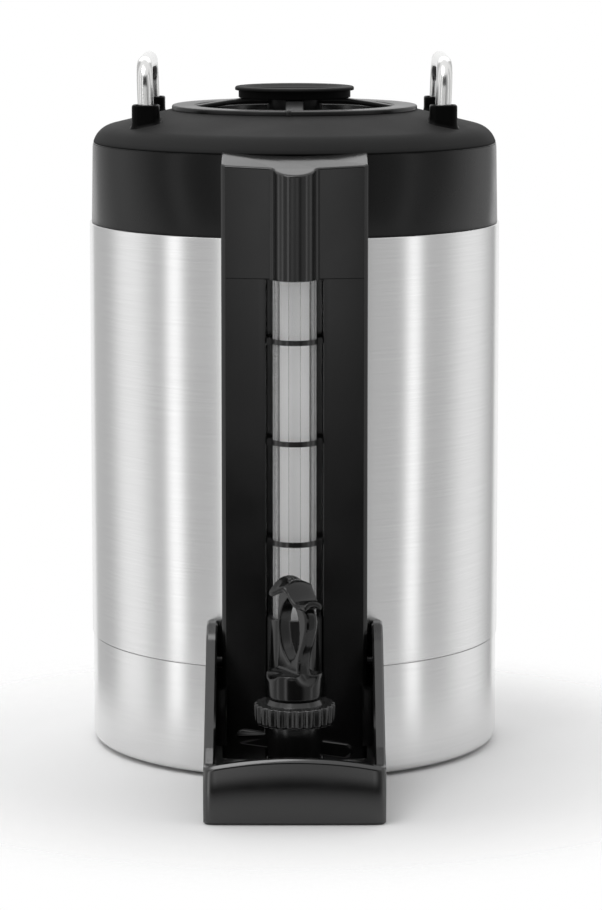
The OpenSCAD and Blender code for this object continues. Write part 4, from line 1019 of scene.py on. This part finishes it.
# %% Fluted bonnet
def flute_tree():
    """Points moved towards the bonnet's axis by a wave of their angle, full at its outside."""
    tree, given = tree_with("flutes", ("Flutes", "Int", 24), ("Depth", "Float", 0.001),
                            ("Axis Y", "Float", 0.0), ("Inner", "Float", 0.017), ("Outer", "Float", 0.0198))
    spot = add_node(tree, "GeometryNodeInputPosition").outputs[0]
    parts = add_node(tree, "ShaderNodeSeparateXYZ", {0: spot}).outputs
    x, y = parts["X"], maths(tree, "SUBTRACT", parts["Y"], given["Axis Y"])
    angle = maths(tree, "ARCTAN2", y, x)
    wave = maths(tree, "COSINE", maths(tree, "MULTIPLY", angle, given["Flutes"]))
    hollow = maths(tree, "POWER", maths(tree, "MULTIPLY", maths(tree, "ADD", wave, 1.0), 0.5), 1.6)
    squares = maths(tree, "ADD", maths(tree, "POWER", x, 2.0), maths(tree, "POWER", y, 2.0))
    reach = maths(tree, "SQRT", squares)
    mask = add_node(tree, "ShaderNodeMapRange", {
        "Value": reach, "From Min": given["Inner"], "From Max": given["Outer"],
    }, interpolation_type="SMOOTHSTEP")
    press = maths(tree, "MULTIPLY", maths(tree, "MULTIPLY", hollow, mask.outputs[0]), given["Depth"])
    back = maths(tree, "DIVIDE", maths(tree, "MULTIPLY", press, -1.0), reach)
    shift = add_node(tree, "ShaderNodeCombineXYZ", {
        "X": maths(tree, "MULTIPLY", x, back), "Y": maths(tree, "MULTIPLY", y, back)})
    move = add_node(tree, "GeometryNodeSetPosition", {
        "Geometry": given["Geometry"], "Offset": shift.outputs[0]})
    return finish_tree(tree, given, move.outputs[0])


def bonnet():
    """The bonnet before its flutes: a ring with as many segments as the flutes need."""
    r, ring_top_z, stem_r = high("bonnet")[0], bonnet_top_z - 2.5, 3.08
    profile = rounded([(stem_r, barrel_top_z + 7.8, 0), (14.5, barrel_top_z + 7.8, 0),
                       (14.5, bonnet_low_z, 0), (r - 0.2, bonnet_low_z, 1.6), (r, bonnet_low_z + 5, 0),
                       (r - 0.1, ring_top_z, 1.3), (14.2, ring_top_z, 0.6), (12.6, bonnet_top_z, 0.8),
                       (stem_r, bonnet_top_z, 0)], 6)
    return turned("bonnet", profile, 0, -tap_q, flutes * 14)


flutes = 24
fluted = grown(bonnet(), flute_tree(), "black_matte", Flutes=flutes, Depth=1.15 * MM, Axis_Y=-tap_q * MM,
               Inner=16.2 * MM, Outer=18.6 * MM)
dress(creased(fluted), "black_matte", "server", "bonnet")
print("flutes:", flutes)

# %% [markdown]
# ## Tap handle
# The handle is one moulding: a drum that holds the stem, a pointed loop for a finger and a curved
# thumb rest on top. It stands turned to one side. Its solids are drawn in a frame of their own, in
# which it faces forwards, and are placed from there.

# %% Curves of the handle
foot_z, foot_r, foot_h, plate_t = bonnet_top_z + 0.2, 13.7, 12.5, 6.7
turn = math.radians(30)


def handle_point(x, y, z):
    """From the handle's own frame, in which it faces -Y, to the tap."""
    return (x * math.cos(turn) - y * math.sin(turn), -tap_q + x * math.sin(turn) + y * math.cos(turn), z)


def pointed_oval(half_w, z0, z1, steps=24):
    """Outline of two arcs that meet in points at z0 and z1."""
    half_h = (z1 - z0) / 2
    r = (half_w ** 2 + half_h ** 2) / (2 * half_w)
    reach = math.degrees(math.asin(half_h / r))
    right = arc(half_w - r, (z0 + z1) / 2, r, -reach, reach, steps)
    left = arc(r - half_w, (z0 + z1) / 2, r, 180 - reach, 180 + reach, steps)
    return right + left[1:-1]


def through(points, t):
    """Height at t of a smooth curve through (t, height) points."""
    for (t0, h0), (t1, h1) in zip(points, points[1:]):
        if t <= t1:
            s = (t - t0) / (t1 - t0)
            return h0 + (h1 - h0) * s * s * (3 - 2 * s)
    return points[-1][1]


def smooth_loop(points, steps=8):
    """A closed curve that runs evenly through its points."""
    curve, count = [], len(points)
    for i in range(count):
        a, b, c, d = (Vector(points[(i + k) % count]) for k in (-1, 0, 1, 2))
        for k in range(steps):
            t = k / steps
            curve.append(tuple(0.5 * (2 * b + (c - a) * t + (2 * a - 5 * b + 4 * c - d) * t ** 2
                                      + (3 * b - 3 * c + d - a) * t ** 3)))
    return curve


print("handle turned by", round(math.degrees(turn)), "degrees")

# %% [markdown]
# ### Solids of the handle
# Balls scoop the drum's flanks and front. The loop is an outline drawn from the side, with a pointed
# window. The thumb rest is a sheet whose height follows three curves: crest, fall and half width.

# %% Drum, loop and thumb rest
def drum():
    """The foot before its scoops, with both rims broken."""
    top_z = foot_z + foot_h
    rims = ((foot_z, foot_r - 0.5), (foot_z + 0.5, foot_r), (top_z - 0.6, foot_r), (top_z, foot_r - 0.6))
    turns = [math.tau * k / 96 for k in range(96)]
    return stacked("drum", [[handle_point(r * math.cos(a), r * math.sin(a), z) for a in turns]
                            for z, r in rims])


def ball(r, side, along, up):
    """A ball as a tool, placed in the handle's own frame."""
    mesh = bpy.data.meshes.new("ball")
    shape = bmesh.new()
    bmesh.ops.create_uvsphere(shape, u_segments=64, v_segments=40, radius=r * MM)
    shape.to_mesh(mesh)
    shape.free()
    mesh.transform(Matrix.Translation([c * MM for c in handle_point(side, -along, up)]))
    return add_object("ball", mesh)


def loop_plate():
    """The loop, seen from the side: u runs forwards, z upwards. Its front bar is the thicker one."""
    outer = smooth_loop([(12, foot_z + 3), (9.6, 66), (9.2, 71), (10.8, 77), (13.8, 83), (16.6, 90.5),
                         (16.2, 97), (12.5, 100.8), (6, 105.6), (0, 109.2), (-6, 110), (-9.6, 104.5),
                         (-11.2, 97), (-11.6, 90), (-10.6, 79), (-11.4, 69), (-12, foot_z + 3)])
    middle_u, middle_z, edge = 2, 85, 1.2
    rings = []
    for x, inset in ((-plate_t / 2, 1), (-plate_t / 2 + edge, 0), (plate_t / 2 - edge, 0), (plate_t / 2, 1)):
        across, upwards = 1 - inset / 14, 1 - inset / 26
        shrunk = [(middle_u + (u - middle_u) * across, middle_z + (z - middle_z) * upwards) for u, z in outer]
        rings.append([handle_point(x, -u, z) for u, z in shrunk])
    hole = [(u + 0.4, z) for u, z in pointed_oval(9.6, 72.0, 103.5)]
    window = stacked("hole", [[handle_point(x, -u, z) for u, z in hole] for x in (-9, 9)])
    return carve(stacked("loop", rings), window)


def thumb_rest():
    """A saddle: it arches over the loop's back and turns up into a lip at its front end."""
    cells, thick, length, back_u = 24, 2.7, 24.8, -7.0

    def saddle(i, j, layer):
        t, side, under = i / cells, 2 * j / cells - 1, layer * thick
        crest = through([(0, 113.0), (0.3, 111.6), (0.78, 102.6), (1, 104.2)], t)
        fall = through([(0, 7.4), (0.45, 1.6), (0.8, 0.4), (1, 2.6)], t)
        half = through([(0, 10.5), (0.55, 7.6), (1, 5.0)], t)
        return handle_point(side * (half - under * 0.3), -(back_u + length * t),
                            crest - fall * abs(side) ** 2.2 - under)

    return sheet("thumb_rest", cells, cells, saddle)


print("drum radius", foot_r, "mm, loop", plate_t, "mm thick")

# %% [markdown]
# ### One skin
# The handle's parts run into each other with soft blends. Plain solids are merged into one skin of
# small cells and smoothed, as a mould maker would round them by hand. A bevel can't do that where
# shapes cross. The slot for the stem is cut last, so that its edges stay sharp.

# %% Merged and softened
def tap_handle():
    foot, drum_top_z = drum(), foot_z + foot_h
    for side in (-1, 1):
        carve(foot, ball(11, side * 13.6, -1, drum_top_z + 8.6))
    carve(foot, ball(9.5, 0, 18.5, drum_top_z + 3.4))
    body = joined("tap_handle", [foot, loop_plate(), thumb_rest()])
    cells = body.modifiers.new("skin", "REMESH")
    cells.mode = "VOXEL"
    cells.voxel_size = (0.42 if fine else 0.9) * MM
    soft = body.modifiers.new("soften", "SMOOTH")
    soft.factor, soft.iterations = 0.5, 22 if fine else 5
    plain(body)
    half, front_y, back_y = 3.4, -6.2, 7.5
    corners = ((-half, front_y), (half, front_y), (half, back_y), (-half, back_y))
    slot = [handle_point(x, y, 0)[:2] for x, y in corners]
    carve(body, prism("stem_slot", slot, foot_z - 2, foot_z + 7))
    return finish_mesh(body, 60)


handle = dress(tap_handle(), "black_gloss", "handle", "tap_handle")
print("handle faces:", len(handle.data.polygons))

# %% [markdown]
# ## Guard
# Two arms reach forwards from the tower and hold a plain front plate over the drip area. Its face
# swells a little and falls to a bevelled border, with a soft arch along its top. A bevel would need
# an even edge, so the plate is a grid whose depth is written for every point.

# %% Guard
inner_x, join_q = guard_x - 5.3, guard_q - 6
side_z, mid_z = 27.3, 31.8
arm_back_q = math.sqrt((body_r + 0.3) ** 2 - guard_x ** 2) - 2


def arm(side):
    """An arm, drawn from the side as (q, z), with its edges broken on both faces."""
    top, edge = 80, 0.9
    outline = rounded([(arm_back_q, 3, 0), (arm_back_q, top, 1), (arm_back_q + 10, top, 12),
                       (116, top - 4, 20), (join_q - 16, side_z + 6, 14), (join_q - 5, side_z, 6),
                       (join_q + 1, side_z, 0), (join_q + 1, 0.4, 0), (join_q - 5, 0.4, 4),
                       (join_q - 12, 3, 4)], 8)
    rings = []
    for x, shrink in ((inner_x, edge), (inner_x + edge, 0), (guard_x - edge, 0), (guard_x, edge)):
        ring = []
        for i, (q, z) in enumerate(outline):
            before, after = Vector(outline[i - 1]), Vector(outline[(i + 1) % len(outline)])
            along = (after - before).normalized()
            inward = Vector((along.y, -along.x))
            ring.append((side * x, -(q + inward.x * shrink), z + inward.y * shrink))
        rings.append(ring)
    return stacked("arm", rings, 30)


def lug(side):
    """The block by which an arm is screwed to the tower."""
    x0, x1 = sorted((side * (inner_x - 5), side * (inner_x + 0.5)))
    q0, q1 = corner_q + 0.4, corner_q + 9
    box = rounded([(x0, -q1, 1.2), (x1, -q1, 1.2), (x1, -q0, 0.6), (x0, -q0, 0.6)], 4)
    return prism("lug", box, 23, 51, 30)


def plate_top(x):
    """The soft arch of the plate's upper edge."""
    r = (guard_x ** 2 + (mid_z - side_z) ** 2) / (2 * (mid_z - side_z))
    return mid_z - r + math.sqrt(r * r - x * x)


def front_plate():
    """A bevelled border with round corners, and a face that swells like a pillow."""
    columns, rows, border, corner, ends_w = 160, 60, 1.8, 2.2, 6.5

    def face(j, i, layer):
        x = guard_x * math.sin(math.pi * (i / columns - 0.5))
        past = max(0.0, abs(x) - guard_x + corner)
        lift = corner - math.sqrt(max(0.0, corner ** 2 - past ** 2))
        low_z, top_z = lift, plate_top(x) - lift
        t = 0.5 - 0.5 * math.cos(math.pi * j / rows)
        z = low_z + (top_z - low_z) * t
        edge = min(guard_x - abs(x), z - low_z, top_z - z)
        bevel = 1.2 * (1 - min(1.0, edge / border)) ** 1.4
        ends = 1.5 * max(0.0, (abs(x) - guard_x + ends_w) / ends_w) ** 2
        swell = 1.5 * abs(2 * t - 1) ** 2 + ends + 0.5 * (x / guard_x) ** 2
        return (x, -(join_q if layer else guard_q - bevel - swell), z)

    return sheet("front_plate", rows, columns, face, 50)


guard = joined("guard", [front_plate()] + [make(side) for make in (arm, lug) for side in (-1, 1)])
dress(creased(guard, 40), "black_gloss", "server", "guard", finish="guard")
print("plate", round(2 * guard_x, 1), "by", mid_z, "mm")

# %% [markdown]
# ## Studio
# Satin steel shows the room as upright bands. The room is a drum of light round the server, with
# narrow bright cards, wider soft ones and a card in front, and the floor is pale. Lamps could make
# the bands too, but a brightness written on the drum is easier to shape. Behind is plain white.

# %% Studio
world = bpy.data.worlds.new("white room")
bpy.context.scene.world = world
world.use_nodes = True


def seen_directly(tree):
    """1 for camera, glossy and transmission rays, else 0."""
    rays = add_node(tree, "ShaderNodeLightPath").outputs
    seen = maths(tree, "MAXIMUM", rays["Is Camera Ray"], rays["Is Glossy Ray"])
    return maths(tree, "MAXIMUM", seen, rays["Is Transmission Ray"])


def white_world(light):
    """White where it is seen, and a plain level of light where it only lights."""
    tree = world.node_tree
    strength = add_node(tree, "ShaderNodeMapRange", {
        "Value": seen_directly(tree), "To Min": light, "To Max": 1.0})
    fill(tree.nodes["Background"], {"Color": (1, 1, 1, 1), "Strength": strength.outputs[0]})


def card_level(azimuth, height):
    """Brightness of the drum of light at an angle from the camera's side and a height in metres."""
    wall, gap_at, gap_half = 0.56, 2, 34
    sides = [(-69, 5.5, 0.95), (-103, 16, 0.5), (-34.5, 4.5, 1.5), (68.5, 5, 0.9), (115, 19, 0.42),
             (150, 8, -0.15)]
    light = wall - 0.52 * math.exp(-abs((azimuth - gap_at) / gap_half) ** 8)
    for centre, half, more in sides:
        light += more * math.exp(-abs((azimuth - centre) / half) ** 3)
    front = math.exp(-abs(azimuth / 24) ** 4) * (1 - 0.45 * math.exp(-((azimuth - gap_at) / 9) ** 2))
    front *= min(1.0, max(0.0, (height + 0.3) / 0.3)) ** 1.2 * min(1.0, max(0.0, (0.95 - height) / 0.4))
    return light + 1.05 * front


def glowing(name, attribute=None, strength=1.0):
    """A material that only gives light, evenly or as strongly as an attribute says."""
    material = bpy.data.materials.new(name)
    material.use_nodes = True
    tree = material.node_tree
    tree.nodes.clear()
    if attribute:
        strength = add_node(tree, "ShaderNodeAttribute", attribute_name=attribute).outputs["Fac"]
    emission = add_node(tree, "ShaderNodeEmission", {"Strength": strength})
    add_node(tree, "ShaderNodeOutputMaterial", {"Surface": emission.outputs[0]})
    return material


def light_drum():
    """Wall of light round the server, open behind it."""
    radius, step, reach = 2.6, 1.5, 152
    heights = (-1.6, -0.6, -0.45, -0.3, -0.22, -0.14, -0.07, 0, 0.55, 0.95, 3.0)
    turns = [step * i - reach for i in range(int(2 * reach / step) + 1)]
    points = [(radius * math.sin(math.radians(a)), -radius * math.cos(math.radians(a)), z)
              for a in turns for z in heights]
    rows = len(heights)
    faces = [(i * rows + k, i * rows + k + 1, (i + 1) * rows + k + 1, (i + 1) * rows + k)
             for i in range(len(turns) - 1) for k in range(rows - 1)]
    mesh = bpy.data.meshes.new("light_drum")
    mesh.from_pydata(points, [], faces)
    glow = mesh.attributes.new("glow", "FLOAT", "POINT")
    glow.data.foreach_set("value", [card_level(a, z) for a in turns for z in heights])
    mesh.materials.append(glowing("light cards", "glow"))
    drum = add_object("light_drum", mesh)
    drum.visible_camera = False
    return drum


def rear_card():
    """Large card above and behind, which lights the sloping tops."""
    mesh = bpy.data.meshes.new("rear_card")
    x, low_edge, high_edge = 1.6, (2.2, 1.3), (1.9, 3.2)
    mesh.from_pydata([(-x, *low_edge), (x, *low_edge), (x, *high_edge), (-x, *high_edge)], [], [(0, 1, 2, 3)])
    mesh.materials.append(glowing("rear card", strength=1.8))
    card = add_object("rear_card", mesh)
    card.visible_camera = False
    return card


def floor():
    """Pale floor that keeps the shadow near the server and ends softly in the white around."""
    radius, centre_y, sides = 0.3, -0.04, 64
    mesh = bpy.data.meshes.new("floor")
    ring = [(radius * math.cos(math.tau * k / sides), radius * math.sin(math.tau * k / sides) + centre_y, 0)
            for k in range(sides)]
    mesh.from_pydata(ring, [], [tuple(range(sides))])
    f = Finish("pale floor")
    reach = f.add("ShaderNodeVectorMath", {0: f.place, 1: (0, centre_y, 0)}, operation="DISTANCE")
    fade = f.add("ShaderNodeMapRange", {"Value": reach.outputs["Value"], "From Min": 0.14, "From Max": 0.27,
                                        "To Min": 1.0, "To Max": 0.0}, interpolation_type="SMOOTHSTEP")
    f.set(Base_Color=(0.93, 0.93, 0.93, 1), Roughness=0.8, Specular_IOR_Level=0.1, Alpha=fade.outputs[0])
    mesh.materials.append(f.material)
    return add_object("floor", mesh)


def soft_box(name, place, target, size, power):
    """A square lamp that points at a target."""
    lamp = add_object(name, bpy.data.lights.new(name, "AREA"))
    lamp.data.energy, lamp.data.size = power, size
    lamp.location = place
    lamp.rotation_euler = (Vector(target) - Vector(place)).to_track_quat("-Z", "Y").to_euler()
    return lamp


white_world(0.8)
top_light = soft_box("top_light", (-0.5, -0.6, 1.9), (0, 0, 0.2), size=0.9, power=8)
studio = [light_drum(), rear_card(), floor(), top_light]
print("studio pieces:", len(studio))

# %% [markdown]
# ## Camera
# The photo was taken from a little above with a long lens. The place and the lens come from a fit
# of the camera to the rims of the vessel and the corners of the guard.

# %% Camera and output
scene = bpy.context.scene
scene.view_settings.view_transform = "Standard"
scene.render.resolution_x, scene.render.resolution_y = 602, 910
scene.render.resolution_percentage = 100
distance, height, pitch, swing = 1.8405, 0.4334, 7.379, 0.0018
camera = add_object("camera", bpy.data.cameras.new("camera"))
camera.data.lens, camera.data.sensor_width = 142.2, 36
camera.data.shift_y = -0.1
camera.location = (0, -distance, height)
camera.rotation_euler = (math.radians(90 - pitch), 0, -swing)
scene.camera = camera
print("camera", distance, "m in front and", height, "m up")
